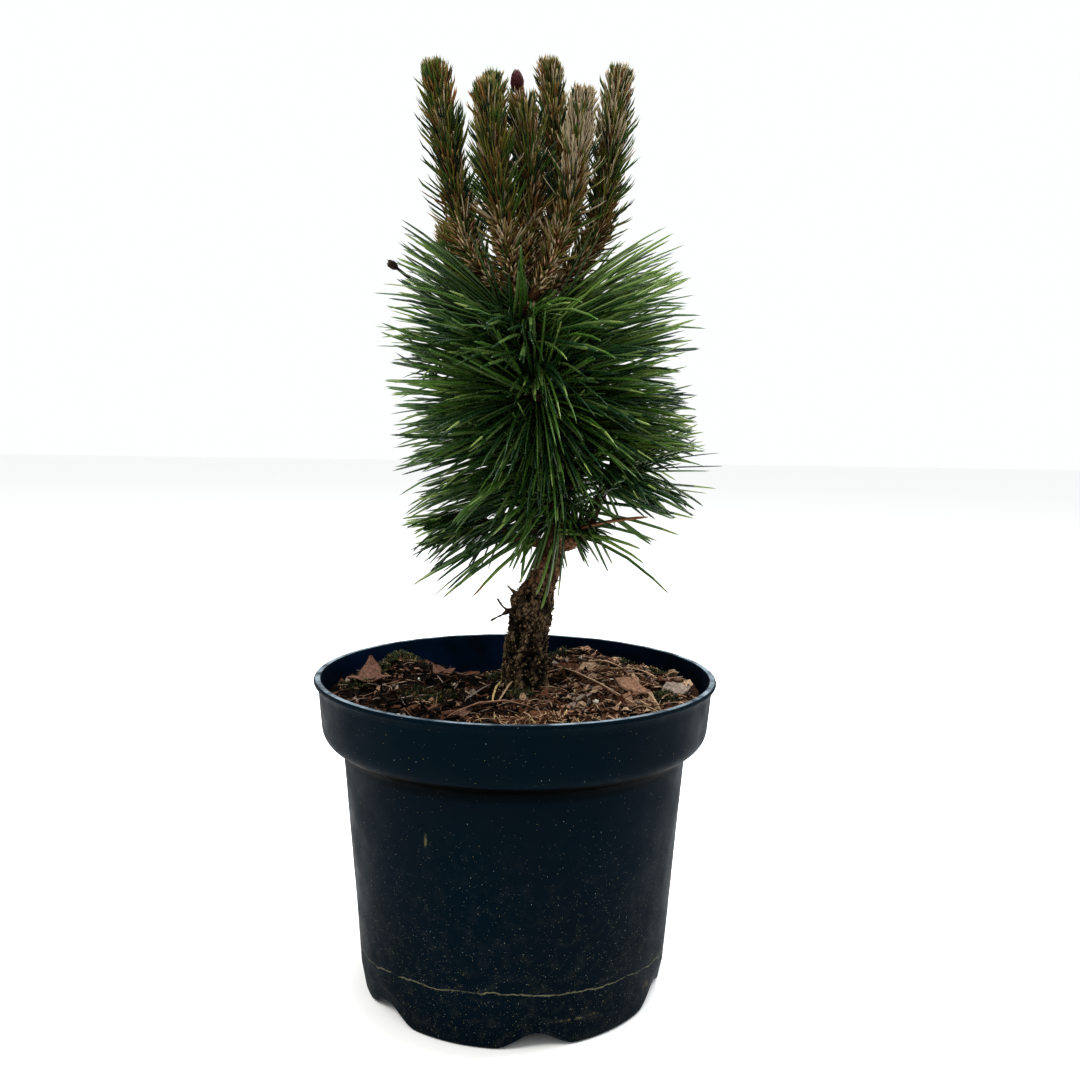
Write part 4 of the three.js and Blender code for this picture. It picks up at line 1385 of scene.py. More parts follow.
bough_lines = {name: with_twig(bough_curve(name)) for name in BOUGHS}


def make_bough(name):
    parts = Parts()
    random = np.random.default_rng(33)
    *_, thick, thin = BOUGHS[name]
    line = bough_lines[name]
    shares = np.linspace(0, 1, BOUGH_RINGS)
    ends = (thick + BOUGH_COLLAR, thick, thin, TWIG_TIP_RADIUS)
    radii = np.interp(shares, (0, 0.06, 0.75, 1), ends)
    cracks = add_bark_limb(parts, line, shares, radii, BOUGH_SIDES, 0 * shares, BOUGH_RELIEF)
    share = random.uniform(0.05, 1, BOUGH_FLAKES)
    turn = random.uniform(0, NEARLY_A_TURN, BOUGH_FLAKES)
    seat = np.interp(share, (0, 0.75, 1), (thick, thin, TWIG_TIP_RADIUS)) - 0.2
    places, way, out = on_surface(line, share, seat, turn)
    lengths = random.uniform(1.6, 3.4, BOUGH_FLAKES)
    lifts = random.uniform(0.2, 1.4, BOUGH_FLAKES)
    add_scales(parts, places, way, out, lengths, lengths * 0.6, lifts, np.zeros(BOUGH_FLAKES, int))
    return with_cracks(parts.mesh(name + "_bark", [bark.material]), cracks)


for bough in BOUGHS:
    put(bough + "_bark", make_bough(bough), "bark", bough)


# Old needles. Their tones are dealt out by spray
OLD_COLOURS = [
    ("needle_deep", (0.010, 0.032, 0.005)),
    ("needle_green", (0.039, 0.088, 0.013)),
    ("needle_fresh_and_sunlit", (0.092, 0.154, 0.026)),
    ("needle_blue", (0.007, 0.027, 0.009)),
    ("needle_back", (0.070, 0.114, 0.032)),
    ("needle_tip", (0.13, 0.18, 0.05)),
    ("needle_dead", (0.15, 0.062, 0.024)),
    ("needle_sheath", (0.028, 0.020, 0.015)),
]
old_materials = plain_set(OLD_COLOURS, 0.27, 0.07, 0.36)
DEEP, GREEN, FRESH_AND_SUNLIT, BLUE, BACK, TIP, DEAD, SHEATH = range(8)


# Tones that a spray can have, with equal chances. The last is a deep one, which becomes the fresh
# one as painted sunlight where it points to the upper right, from a height up and not towards the front
SPRAY_TONES = np.array([DEEP, GREEN, FRESH_AND_SUNLIT, BLUE, GREEN, DEEP])
PAINTED_SUN_FROM = 300
FRONT_WAY = -0.4

# The scatter of a needle's angle, and the shares of dead, short and pale-tipped needles
NEEDLE_SCATTER = 4
DEAD_SHARE = 0.004
SHORT_SHARE = 0.15
PALE_TIP_SHARE = 0.15


def old_spray(mass, count):
    """The rule for a mass's sprays: their roots, directions, and the directions beside them."""
    index = np.arange(count)
    share = (index + 0.5) / count
    azimuth = mass["azimuth"] + mass["width"] * ((index * GOLDEN) % 1 - 0.5)
    root = mass["root"](mix(0.03, 0.97, share), azimuth)
    low, high = TIERS["low"][0], TIERS["top"][1]
    lean = np.clip((root[:, 2] - low) / (high - low), 0, 1) ** ELEVATION_POWER
    elevation = mix(LOWEST_ELEVATION, HIGHEST_ELEVATION, lean)
    elevation = elevation * np.where(elevation < 0, 0.7 - 0.3 * np.cos(np.radians(azimuth)), 1)
    elevation = elevation * mass["tilt"] + mass["lift"]
    elevation = elevation + mass["scatter"] * (chance(mass["seed"] + 1, index) - 0.5)
    back = np.sin(np.radians(azimuth))
    swing = BACK_LIFT * np.maximum(back, 0) - FRONT_DROOP * np.maximum(-back, 0) ** 4
    out = unit(azimuth, elevation + swing * mass["tilt"])
    level = unit(azimuth + 90, 0)
    return root, out, turned(level, np.cross(out, level), np.pi * chance(mass["seed"] + 3, index))


def old_pairs(mass, count, random):
    """Pairs of needles: each spray's fan of directions, with a little scatter of its own."""
    root, out, side = (np.repeat(v, SPRAY_NEEDLES, 0) for v in old_spray(mass, count))
    n = len(root)
    tooth = np.tile(np.arange(SPRAY_NEEDLES), count)
    fan = SPRAY_SPREAD * (tooth / (SPRAY_NEEDLES - 1) - 0.5)
    way = turned(out, side, np.radians(fan + random.normal(0, NEEDLE_SCATTER, n)))
    reach = mix(0.86, 1.04, chance(mass["seed"] + 2, np.arange(n)))
    reach = reach * np.where(random.random(n) < SHORT_SHARE, 0.8, 1)
    root = root + UP * column(random.uniform(-1.5, 1.5, n))
    spray = np.repeat(np.arange(count), SPRAY_NEEDLES)
    pick = (chance(mass["seed"] + 5, spray) * len(SPRAY_TONES)).astype(int)
    tone = SPRAY_TONES[pick]
    # Painted shade: fresh sprays that point forward turn deep
    tone = np.where((way[:, 1] < FRONT_WAY) & (tone == FRESH_AND_SUNLIT), DEEP, tone)
    # Painted sunlight: the last tone turns fresh on sprays high up that point to the upper right
    painted_sunlight = (way[:, 0] + 0.6 * way[:, 2] > 0.5) & (root[:, 2] > PAINTED_SUN_FROM)
    last = pick == len(SPRAY_TONES) - 1
    tone = np.where(painted_sunlight & (way[:, 1] > FRONT_WAY) & last, FRESH_AND_SUNLIT, tone)
    tone = np.where(random.random(n) < DEAD_SHARE, DEAD, tone)
    return root, way, NEEDLE_LENGTH * mass["reach"] * reach, tone


# A pair's sheath: its length and radius
SHEATH_LENGTH = 7.0
SHEATH_RADIUS = 1.25


def add_pairs(parts, random, root, way, length, tone, rise=0.05):
    """Two needles from each root, flat faces together, in a short brown sheath."""
    n = len(root)
    side = square_to(way, random.uniform(0, FULL_TURN, n))
    normal = np.cross(way, side)
    above = UP - way * way[:, 2:]
    bow = above * column(length * random.normal(rise, 0.025, n))
    bow = bow + side * column(length * random.normal(0, 0.022, n))
    opening = np.radians(random.uniform(0.8, 4.5, n))
    width = NEEDLE_WIDTH * random.uniform(0.85, 1.12, n)
    for turn in (1, -1):
        ways = normalised(way + turn * normal * column(np.tan(opening)))
        sides = normalised(np.cross(np.cross(ways, side), ways)) * turn
        back = np.where(tone == DEAD, DEAD, BACK)
        tip = np.where((tone == DEAD) | (random.random(n) < 1 - PALE_TIP_SHARE), tone, TIP)
        lengths = length * random.uniform(0.94, 1.02, n)
        start = root + turn * normal * 0.15
        add_needles(parts, start, ways, sides, lengths, width, bow, tone, back, tip)
    add_sheaths(parts, root, way, side, np.full(n, SHEATH_LENGTH), SHEATH_RADIUS, SHEATH)


# A sheath's rings: share of its length, and size
SHEATH_RINGS = [(0, 0.8), (0.7, 1.0), (1, 0.55)]
SHEATH_SIDES = 5


def add_sheaths(parts, root, way, side, lengths, radius, tone):
    """Papery closed sheaths round the feet of pairs."""
    normal = np.cross(way, side)
    spoke = turned(side[:, None], normal[:, None], even_turns(SHEATH_SIDES))
    rings = []
    for share, size in SHEATH_RINGS:
        rings.append((root + way * column(lengths * share))[:, None] + spoke * (radius * size))
    foot = np.arange(SHEATH_SIDES)[::-1][None]
    top = foot[:, ::-1] + 2 * SHEATH_SIDES
    parts.add(np.concatenate(rings, 1), [grid_faces(3, SHEATH_SIDES), foot, top], [tone] * 3)


def on_stem(low, high):
    """Roots of sprays on the stem, at shares of a stretch of its height."""
    def root(share, azimuth):
        place = stem_share_at(mix(low, high, share))
        return stem.point(place) + unit(azimuth, 0) * column(stem_radius(place) * 0.8)
    return root


def on_twig(line):
    """Roots of sprays on a bough's twig."""
    def root(share, _):
        return line.point(mix(0.72, 1.0, share))
    return root


def high_enough(root, way, length):
    """Whether tips stay above the crown's lower edge, which rises to the right."""
    edge = LOWEST_TIP + LOWEST_TIP_TILT * way[:, 0] + 20 * smooth(0.7, 0.95, way[:, 0])
    edge = edge + 9 * smooth(0.4, 0.1, np.abs(way[:, 0]))
    return (root + way * column(length))[:, 2] > edge


NEAR_A_SHOOT = 5.5


def near_shoots(points):
    """Whether each point lies at a shoot's own stem."""
    cores = np.concatenate([curve.point(np.linspace(0.05, 0.8, 24)) for curve in shoot_curves])
    return (np.linalg.norm(points[:, None] - cores, axis=2) < NEAR_A_SHOOT).any(1)


def shoot_curve(azimuth, lift, path):
    out = unit(azimuth, lift)
    return Curve([FORK + out * (FORK_RADIUS - 1), FORK + out * (FORK_RADIUS + 3.3), *path])


shoot_curves = [shoot_curve(azimuth, lift, path) for azimuth, lift, path, _ in SHOOTS]


# Short side shoots inside the crown: height on the stem, azimuth, lift, length, pairs and their reach
SIDE_SHOOTS = [
    (340, 268, -4, 24, 34, 1),
    (372, 205, 18, 16, 16, 1),
    (366, 28, 22, 20, 18, 1),
    (322, 96, 4, 18, 18, 1),
    (330, 342, -6, 20, 18, 1),
    (306, 196, -18, 18, 18, 1),
    (356, 132, 14, 18, 16, 1),
    (296, 300, -20, 16, 14, 1),
    (287, 258, -44, 12, 16, 0.75),
    (258, 335, 26, 21, 30, 0.27),
    (266, 200, -6, 14, 10, 0.55),
    (383, 262, 12, 7, 20, 0.36),
]
# The tiers that the side shoots' needles go with, by the height up to which they do
SIDE_SHOOT_TIERS = {"low": 301, "mid": 346, "top": math.inf}

# A thin twig with a dark bud that stands out on the left
BARE_TWIG = [(1, 2, 376), (-24, 16, 384), (-48, 18, 394), (-71, 0, 410)]
BARE_TWIG_RADII = (1.4, 0.8)


SIDE_SHOOT_RINGS = 14


def add_side_shoot(needles, wood, random, height, azimuth, lift, length, pairs, reach):
    """A short leafy shoot with a dark bud at its tip."""
    start = stem.point(stem_share_at(height))[0]
    way = unit(azimuth, lift)
    shares = np.linspace(0, 1, SIDE_SHOOT_RINGS)
    curve = Curve([start, start + way * length / 2, start + way * length])
    radii = np.interp(shares, (0, 0.8, 1), (2.6, 2.2, 2.6))
    add_tube(wood, *frames_along(curve, shares, (0.0, 0, 1)), radii, BUD_DARK)
    index = np.arange(pairs)
    along = mix(0.35, 0.97, (index + 0.5) / pairs)
    opening = np.radians(mix(84, 42, along) + random.normal(0, 6, pairs))
    away = square_to(np.tile(way, (pairs, 1)), FULL_TURN * index * GOLDEN)
    ways = turned(way, away, opening)
    roots = curve.point(along) + away * 1.6
    tones = random.choice([DEEP, GREEN, DEEP, GREEN], pairs)
    lengths = NEEDLE_LENGTH * reach * random.uniform(0.62, 0.84, pairs)
    lengths = lengths * np.where(ways @ unit(azimuth, 0) > 0.5, 0.86, 1)
    add_pairs(needles, random, roots, ways, lengths, tones, rise=0.02)
    add_bud(wood, random, start + way * (length + 1.5), way, 2.6, 7, BUD_DARK, BRACT_BROWN)


# Buds and shoots: tones
SHOOT_COLOURS = [
    ("young_olive", (0.068, 0.067, 0.011)),
    ("young_green", (0.028, 0.052, 0.008)),
    ("young_dark", (0.005, 0.016, 0.007)),
    ("young_gold", (0.140, 0.112, 0.036)),
    ("young_brown", (0.082, 0.044, 0.012)),
    ("young_pale", (0.215, 0.175, 0.115)),
    ("sheath_tan", (0.25, 0.160, 0.070)),
    ("sheath_grey_and_highlight", (0.40, 0.31, 0.20)),
    ("bract_red", (0.38, 0.21, 0.145)),
    ("bract_brown", (0.055, 0.022, 0.009)),
    ("bud_orange", (0.14, 0.066, 0.022)),
    ("bud_dark", (0.022, 0.015, 0.012)),
    ("cone_purple", (0.032, 0.006, 0.007)),
]
shoot_materials = plain_set(SHOOT_COLOURS, 0.65, 0.1, 0.10)
(OLIVE, YOUNG_GREEN, YOUNG_DARK, GOLD, YOUNG_BROWN, PALE, SHEATH_TAN, SHEATH_GREY_AND_HIGHLIGHT, BRACT_RED, BRACT_BROWN,
 BUD_ORANGE, BUD_DARK, CONE_PURPLE) = range(13)
FORK_SCALES = 500
FORK_TONES = [(BRACT_RED, 0.3), (BRACT_BROWN, 0.35), (SHEATH_GREY_AND_HIGHLIGHT, 0.2), (YOUNG_GREEN, 0.15)]


def drawn(random, n, tones):
    """Tones drawn by their shares."""
    kinds, shares = zip(*tones)
    return random.choice(kinds, n, p=shares)


BUD_RINGS = 9
BUD_MIDDLE = 0.4


def add_bud(parts, random, centre, way, radius, length, core_tone, scale_tone, scales=46):
    """A pointed bud: a slim core under overlapping scales."""
    along = np.linspace(0, 1, BUD_RINGS)
    centres = centre + way * column((along - BUD_MIDDLE) * length)
    first = np.repeat(square_to(way[None], np.zeros(1)), BUD_RINGS, 0)
    radii = radius * np.sin(np.pi * np.clip(0.12 + 0.84 * along, 0, 1)) ** 0.8
    add_tube(parts, centres, first, np.cross(way, first), radii, core_tone)
    index = np.arange(scales)
    share = (index + 0.5) / scales
    at = mix(0, 0.86, share)
    ways = np.tile(way, (scales, 1))
    away = square_to(ways, FULL_TURN * index * GOLDEN)
    place = centre + way * column((at - BUD_MIDDLE) * length)
    place = place + away * column(np.interp(at, along, radii) - 0.15)
    lengths = length * random.uniform(0.24, 0.36, scales)
    tones = np.where(random.random(scales) < 0.75, scale_tone, core_tone)
    lifts = 0.12 * lengths * random.uniform(-0.5, 1.5, scales) - 0.28 * lengths * share
    add_scales(parts, place, ways, away, lengths, lengths * 0.75, lifts, tones)


def add_fork_scales(wood, random):
    """Bracts all round the swelling under the shoots."""
    out = unit(random.uniform(0, 360, FORK_SCALES), random.uniform(-75, 35, FORK_SCALES))
    way = normalised(UP - out * out[:, 2:] + 0.4 * random.normal(0, 1, out.shape))
    lengths = random.uniform(2.8, 6.2, FORK_SCALES)
    tones = drawn(random, FORK_SCALES, FORK_TONES)
    lifts = random.uniform(0.2, 2.2, FORK_SCALES)
    add_scales(wood, FORK + out * (FORK_RADIUS - 0.2), way, out, lengths, lengths * 0.5, lifts, tones)


def reach_towards(azimuth, tier):
    """The share of their length that a tier's needles keep towards an azimuth."""
    return mix(1, RIGHT_REACH[tier], smooth(0.2, 0.9, math.cos(math.radians(azimuth))))


# Heights between which low needle tips grow sparse, on the left and on the right, and how far aside
# or forward a needle has to point before its tip's height matters
THIN_BELOW_LEFT = (276, 248)
THIN_BELOW_RIGHT = (296, 270)
TO_THE_SIDE = 0.25

# Shares of a needle's length at which it has to keep clear of the shoots
CLEAR_AT = (0.25, 0.4, 0.6, 0.8, 1.0)


def kept_in_tier(random, root, way, length):
    """Which of a tier's needles are kept: the crown's lower edge, its front and the shoots stay open."""
    tip_height = (root + way * column(length))[:, 2]
    aside = np.abs(way[:, 0])
    on_left, on_right = smooth(*THIN_BELOW_LEFT, tip_height), smooth(*THIN_BELOW_RIGHT, tip_height)
    thinned = np.where(way[:, 0] < 0, on_left, on_right) * smooth(0.15, 0.5, aside)
    kept = high_enough(root, way, length)
    kept &= random.random(len(root)) > LOW_THINNING * thinned
    kept &= random.random(len(root)) < mix(1, FRONT_SHARE, smooth(0.55, 0.95, -way[:, 1]))
    kept &= (way[:, 1] > -TO_THE_SIDE) | (tip_height < SHOOTS_SHOW_FROM)
    kept &= (aside < TO_THE_SIDE) | (tip_height < HIGHEST_TIP)
    for share in CLEAR_AT:
        kept &= ~near_shoots(root + way * column(length * share))
    return kept


def add_kept_pairs(parts, random, kept, *needles):
    add_pairs(parts, random, *(values[kept] for values in needles))


def make_tier_needles(random, number, tier):
    """A tier's needles, sector by sector."""
    low, high, first_azimuth, fullness = TIERS[tier]
    parts = Parts()
    width = 360 / len(fullness)
    mass = {"width": width, "root": on_stem(low, high), "scatter": 14, "tilt": 1, "lift": 0}
    for j, full in enumerate(fullness):
        azimuth = first_azimuth + j * width
        mass |= {"azimuth": azimuth, "seed": 10 * number + j + 1, "reach": reach_towards(azimuth, tier)}
        needles = old_pairs(mass, round(SPRAYS * full), random)
        add_kept_pairs(parts, random, kept_in_tier(random, *needles[:3]), *needles)
    return parts


def make_bough_needles(random):
    """The needles at the boughs' tips."""
    parts = Parts()
    for k, (name, (azimuth, lift, reach)) in enumerate(BOUGH_MASSES.items()):
        mass = {"azimuth": azimuth, "width": 150, "root": on_twig(bough_lines[name]), "seed": 61 + k}
        mass |= {"scatter": 60, "tilt": 0.35, "lift": lift, "reach": reach}
        needles = old_pairs(mass, BOUGH_SPRAYS, random)
        add_kept_pairs(parts, random, high_enough(*needles[:3]), *needles)
    return parts


def make_old_needles():
    """Needles for each tier and for the boughs' tips, and the wood of the side shoots and the twig."""
    random = np.random.default_rng(41)
    wood = Parts()
    made = {tier: make_tier_needles(random, number, tier) for number, tier in enumerate(TIERS)}
    for height, *shoot in SIDE_SHOOTS:
        tier = next(name for name, top in SIDE_SHOOT_TIERS.items() if height < top)
        add_side_shoot(made[tier], wood, random, height, *shoot)
    add_fork_scales(wood, random)
    twig = Curve(BARE_TWIG)
    shares = np.linspace(0, 1, 30)
    add_tube(wood, *frames_along(twig, shares), mix(*BARE_TWIG_RADII, shares), BUD_DARK, sides=8)
    add_bud(wood, random, twig.point(1)[0], twig.tangent(1)[0], 2.2, 6.5, BUD_DARK, BUD_DARK)
    made["bough"] = make_bough_needles(random)
    return made, wood


old_parts, side_wood = make_old_needles()

# Single old needles that stand out in the photograph: foot, tip, bow upwards and tone
LONE_NEEDLES = [
    ((22, -2, 388), (60, 5, 449), 3, DEEP),
    ((26, 4, 390), (55, 8, 438), 2, DEEP),
    ((24, -3, 292), (114, 4, 288), 1, DEEP),
    ((24, -3, 290), (107, -8, 286), 2, GREEN),
    ((22, -4, 280), (101, 0, 271), 3, DEEP),
    ((23, -4, 276), (92, -8, 262), 3, GREEN),
    ((22, -4, 268), (80, -2, 258), 3, GREEN),
    ((23, -3, 262), (87, -10, 228), 8, GREEN),
    ((22, -5, 264), (72, -14, 246), 5, FRESH_AND_SUNLIT),
    ((6, -12, 254), (-24, -42, 229), 2, DEAD),
    ((30, -3, 330), (42, -20, 297), 2, DEAD),
    ((20, -4, 256), (11, -18, 228), -3, FRESH_AND_SUNLIT),
    ((21, -6, 246), (14, -18, 220), -2, FRESH_AND_SUNLIT),
    ((8, -10, 268), (-58, -25, 233), 4, DEEP),
    ((8, -10, 264), (-54, -28, 236), 3, GREEN),
    ((8, -12, 264), (-46, -30, 228), 4, DEEP),
    ((8, -12, 260), (-40, -34, 228), 3, GREEN),
    ((10, -12, 258), (-22, -40, 231), 3, FRESH_AND_SUNLIT),
    ((10, -12, 262), (-30, -38, 236), 3, DEEP),
    ((24, -8, 262), (70, -10, 254), 3, FRESH_AND_SUNLIT),
    ((36, -12, 266), (73, -18, 273), 1, DEAD),
    ((6, -14, 268), (3, -40, 238), -2, GREEN),
]


def add_lone_needles(parts):
    random = np.random.default_rng(44)
    feet, tips, above, tones = (np.array(values) for values in zip(*LONE_NEEDLES))
    lengths = np.linalg.norm(tips - feet, axis=1)
    ways = (tips - feet) / column(lengths)
    bows = UP * column(above)
    sides = square_to(ways, random.uniform(0, NEARLY_A_TURN, len(ways)))
    widths = np.full(len(ways), NEEDLE_WIDTH)
    tip_tones = np.where(tones == DEAD, DEAD, TIP)
    add_needles(parts, feet, ways, sides, lengths, widths, bows, tones, tones, tip_tones)


add_lone_needles(old_parts["low"])
for tier, (*_, fullness) in TIERS.items():
    tier_nodes = [f"needles_{tier}_{j + 1}" for j in range(len(fullness))]
    tier_mesh = old_parts[tier].mesh(f"old_needles_{tier}", old_materials)
    put(f"old_needles_{tier}", tier_mesh, "needles", *tier_nodes)
bough_needles = old_parts["bough"].mesh("old_needles_boughs", old_materials)
put("old_needles_boughs", bough_needles, "needles", "needles_bough_right", "needles_bough_left")


# New shoots
def shoot_width(share):
    """The radius of a shoot's own stem."""
    return np.interp(share, (0, 0.12, 0.8, 1), (3.4, 2.6, 3.3, 2.4))


def young_pairs(curve, seed, full, close_share, count):
    """The rule for young needles: where each pair stands, its direction, its length, and if it lies close.

    The last of them make the tuft round the bud.
    """
    index = np.arange(count)
    along = mix(0.05, 1, np.minimum((index + 0.75) / (count - TUFT), 1) ** 0.8)
    place = curve.even(along)
    axis = curve.tangent(place)
    first = normalised(np.cross([1.0, 0, 0], axis))
    away = turned(first, np.cross(axis, first), FULL_TURN * index * GOLDEN)
    close = chance(seed + 2, index) < close_share
    opening = mix(54, 44, smooth(0.1, 0.5, along)) - 11 * smooth(0.56, 0.7, along)
    opening = opening - 13 * smooth(0.955, 1, along)
    opening = opening * np.where(close, 0.72, 1)
    opening = np.radians(opening + 12 * (chance(seed, index) - 0.5))
    growth = mix(0.5, 1, smooth(0.06, 0.4, along)) * mix(1, 0.7, smooth(0.66, 0.86, along))
    growth = growth * mix(1, 0.78, smooth(0.93, 1, along))
    growth = growth * np.where(close, mix(0.56, 0.92, smooth(0.6, 0.9, along)), 1)
    root = curve.point(place) + away * column(0.9 * shoot_width(along))
    length = YOUNG_NEEDLE_LENGTH * growth * full * mix(0.85, 1.1, chance(seed + 1, index))
    tuft = index >= count - TUFT
    fill = (index - count + TUFT + 0.5) / TUFT
    upright = np.radians(mix(36, 3, fill) + 10 * (chance(seed, index) - 0.5))
    out = turned(axis, away, np.where(tuft, upright, opening))
    root = np.where(column(tuft), curve.point(1) + away * column(2.2 * (1 - fill)), root)
    length = np.where(tuft, TUFT_LENGTH * full * mix(0.7, 1.1, chance(seed + 1, index)), length)
    return along, axis, away, root, out, length, close


# How many of each shoot's needles lie close to it, how many are pale, and how orange its tip is
CLOSE_SHARES = (0.62, 0.66, 0.7, 0.75, 0.7, 0.85, 0.66, 0.6)
PALENESS = (0.03, 0.04, 0.04, 0.12, 0.12, 0.42, 0.3, 0.1)
TIP_ORANGE = (0.26, 0.12, 0.42, 0.05, 0.12, 0.04, 0.04, 0.1)
ORANGE_BUD_FROM = 0.2
YOUNG_PAIRS = 560
LAST_SHOOT_SHARE = 0.6

# The tones' shares at a shoot's foot, among the open and the close needles of its middle, and among
# the close and the open ones of its head
YOUNG_TONES = [
    [(YOUNG_GREEN, 0.24), (OLIVE, 0.26), (YOUNG_BROWN, 0.18), (GOLD, 0.22), (PALE, 0.10)],
    [(YOUNG_DARK, 0.34), (YOUNG_GREEN, 0.42), (OLIVE, 0.16), (YOUNG_BROWN, 0.08)],
    [(OLIVE, 0.26), (YOUNG_BROWN, 0.38), (GOLD, 0.12), (YOUNG_GREEN, 0.11), (YOUNG_DARK, 0.13)],
    [(OLIVE, 0.32), (GOLD, 0.16), (YOUNG_BROWN, 0.27), (YOUNG_GREEN, 0.13), (YOUNG_DARK, 0.12)],
    [(YOUNG_GREEN, 0.36), (YOUNG_DARK, 0.24), (OLIVE, 0.3), (GOLD, 0.1)],
]
BRACT_TONES = [(BRACT_RED, 0.46), (BRACT_BROWN, 0.34), (SHEATH_TAN, 0.2)]


def young_tones(random, along, close, pale, orange):
    """Green foot, dark open needles and brown close ones in the middle, and an olive head."""
    n = len(along)
    foot, middle_open, middle_close, head_close, head_open = (drawn(random, n, t) for t in YOUNG_TONES)
    middle = np.where(close, middle_close, middle_open)
    head = np.where(close, head_close, head_open)
    tones = np.where(random.random(n) < smooth(0.25, 0.5, along), middle, foot)
    tones = np.where(random.random(n) < smooth(0.55, 0.8, along), head, tones)
    pale_here = pale * smooth(0.45, 0.8, along) * np.where(close, 1.3, 0.35)
    tones = np.where(random.random(n) < pale_here, PALE, tones)
    orange_here = orange * smooth(0.8, 0.88, along) * smooth(0.97, 0.93, along)
    return np.where(random.random(n) < orange_here, BUD_ORANGE, tones)


SHOOT_RINGS = 70
SHOOT_SIDES = 14


def add_shoot_stem(parts, random, curve, seed):
    """A shoot's own stem, a little lumpy."""
    shares = np.linspace(0, 1, SHOOT_RINGS)
    centres, first, second = frames_along(curve, curve.even(shares))
    places = np.repeat(centres, SHOOT_SIDES, 0) + random.normal(0, 0.01, (SHOOT_RINGS * SHOOT_SIDES, 3))
    places = places + column(np.tile(np.arange(SHOOT_SIDES) * 2.1, SHOOT_RINGS))
    lumps = 0.5 * noise(places, 2.2, seed).reshape(SHOOT_RINGS, SHOOT_SIDES)
    add_tube(parts, centres, first, second, column(shoot_width(shares)) + lumps, BRACT_BROWN)


def add_young_needles(parts, random, pairs, side, pale, orange):
    """The two needles of each young pair."""
    along, _, away, root, out, length, close = pairs
    n = len(along)
    tones = young_tones(random, along, close, pale, orange)
    opening = np.radians(random.uniform(3, 9, n))
    bow = away * column(length * random.uniform(0.03, 0.12, n))
    widths = random.uniform(0.85, 1.15, n)
    for turn in (1, -1):
        ways = normalised(out + turn * side * column(np.tan(opening)))
        sides = square_to(ways, random.uniform(0, NEARLY_A_TURN, n))
        tip = np.where(random.random(n) < pale * along, PALE, tones)
        add_needles(parts, root, ways, sides, length, widths, bow, tones, tones, tip, short=True)


def add_young_sheaths(parts, random, pairs, side, pale):
    """Sheaths round the pairs' feet, greyer on pale shoots and low down; low down the grey is partly a
    painted highlight.
    """
    along, _, _, root, out, length, close = pairs
    # Low down the grey is partly the sheaths' papery colour and partly a painted highlight
    grey = pale * smooth(0.4, 0.8, along) + 0.3 * smooth(0.5, 0.3, along)
    grey = random.random(len(along)) < grey
    tones = np.where(random.random(len(along)) < 0.55, SHEATH_TAN, BRACT_BROWN)
    tones = np.where(grey, SHEATH_GREY_AND_HIGHLIGHT, tones)
    sizes = np.where(close, 0.56, 0.38) * length
    for tone in (SHEATH_GREY_AND_HIGHLIGHT, SHEATH_TAN, BRACT_BROWN):
        pick = tones == tone
        add_sheaths(parts, root[pick], out[pick], side[pick], sizes[pick], YOUNG_SHEATH_RADIUS, tone)


def add_bracts(parts, random, pairs):
    """A bract under each pair, longer and greyer near the shoot's foot, where the grey is partly a painted
    highlight.
    """
    along, axis, away, root, *_ = pairs
    n = len(along)
    tones = drawn(random, n, BRACT_TONES)
    # Near the foot the grey bracts are partly their papery colour and partly a painted highlight
    tones = np.where(random.random(n) < 0.45 * smooth(0.55, 0.35, along), SHEATH_GREY_AND_HIGHLIGHT, tones)
    spread = normalised(axis + away * column(random.uniform(0.3, 1.3, n)))
    low = smooth(0.55, 0.3, along)
    sizes = (random.uniform(2.8, 4.6, n) + 2.6 * low) * mix(1, 0.55, smooth(0.8, 0.92, along))
    lifts = random.uniform(0.2, 2.4, n) + random.uniform(0, 3.2, n) * low
    add_scales(parts, root - away * 0.4 - axis * 1.2, spread, away, sizes, sizes * 0.32, lifts, tones)


# Where the cone's middle is from its shoot's tip, and how many scales the cone has
CONE_MIDDLE = np.array([-1.7, 0, CONE_LENGTH / 2 - 2.7])
CONE_SCALES = 150

# The radius of a young pair's sheath, and the radius and length of a bud
YOUNG_SHEATH_RADIUS = 0.85
YOUNG_BUD = (2.2, 7)


def make_shoot(k):
    parts = Parts()
    random = np.random.default_rng(51 + k)
    curve, full = shoot_curves[k], SHOOTS[k][3]
    add_shoot_stem(parts, random, curve, k)
    tip, way = curve.point(1)[0], curve.tangent(1)[0]
    count = round(YOUNG_PAIRS * (LAST_SHOOT_SHARE if k == len(SHOOTS) - 1 else 1))
    pairs = young_pairs(curve, 101 + 3 * k, full, CLOSE_SHARES[k], count)
    if k == CONE_SHOOT:
        *_, root, out, length, _ = pairs
        kept = (root + out * column(length))[:, 2] < tip[2] + CLEAR_OF_CONE
        pairs = [values[kept] for values in pairs]
    side = normalised(np.cross(pairs[1], pairs[2]))
    add_young_needles(parts, random, pairs, side, PALENESS[k], TIP_ORANGE[k])
    add_young_sheaths(parts, random, pairs, side, PALENESS[k])
    add_bracts(parts, random, pairs)
    bud_scales = BUD_ORANGE if TIP_ORANGE[k] > ORANGE_BUD_FROM else GOLD
    add_bud(parts, random, tip + way * 0.5, way, *YOUNG_BUD, BRACT_BROWN, bud_scales)
    if k == CONE_SHOOT:
        size = CONE_RADIUS - 0.5, CONE_LENGTH - 0.8
        add_bud(parts, random, tip + CONE_MIDDLE, UP, *size, CONE_PURPLE, CONE_PURPLE, CONE_SCALES)
    return parts.mesh(f"new_shoot_{k + 1}", shoot_materials)


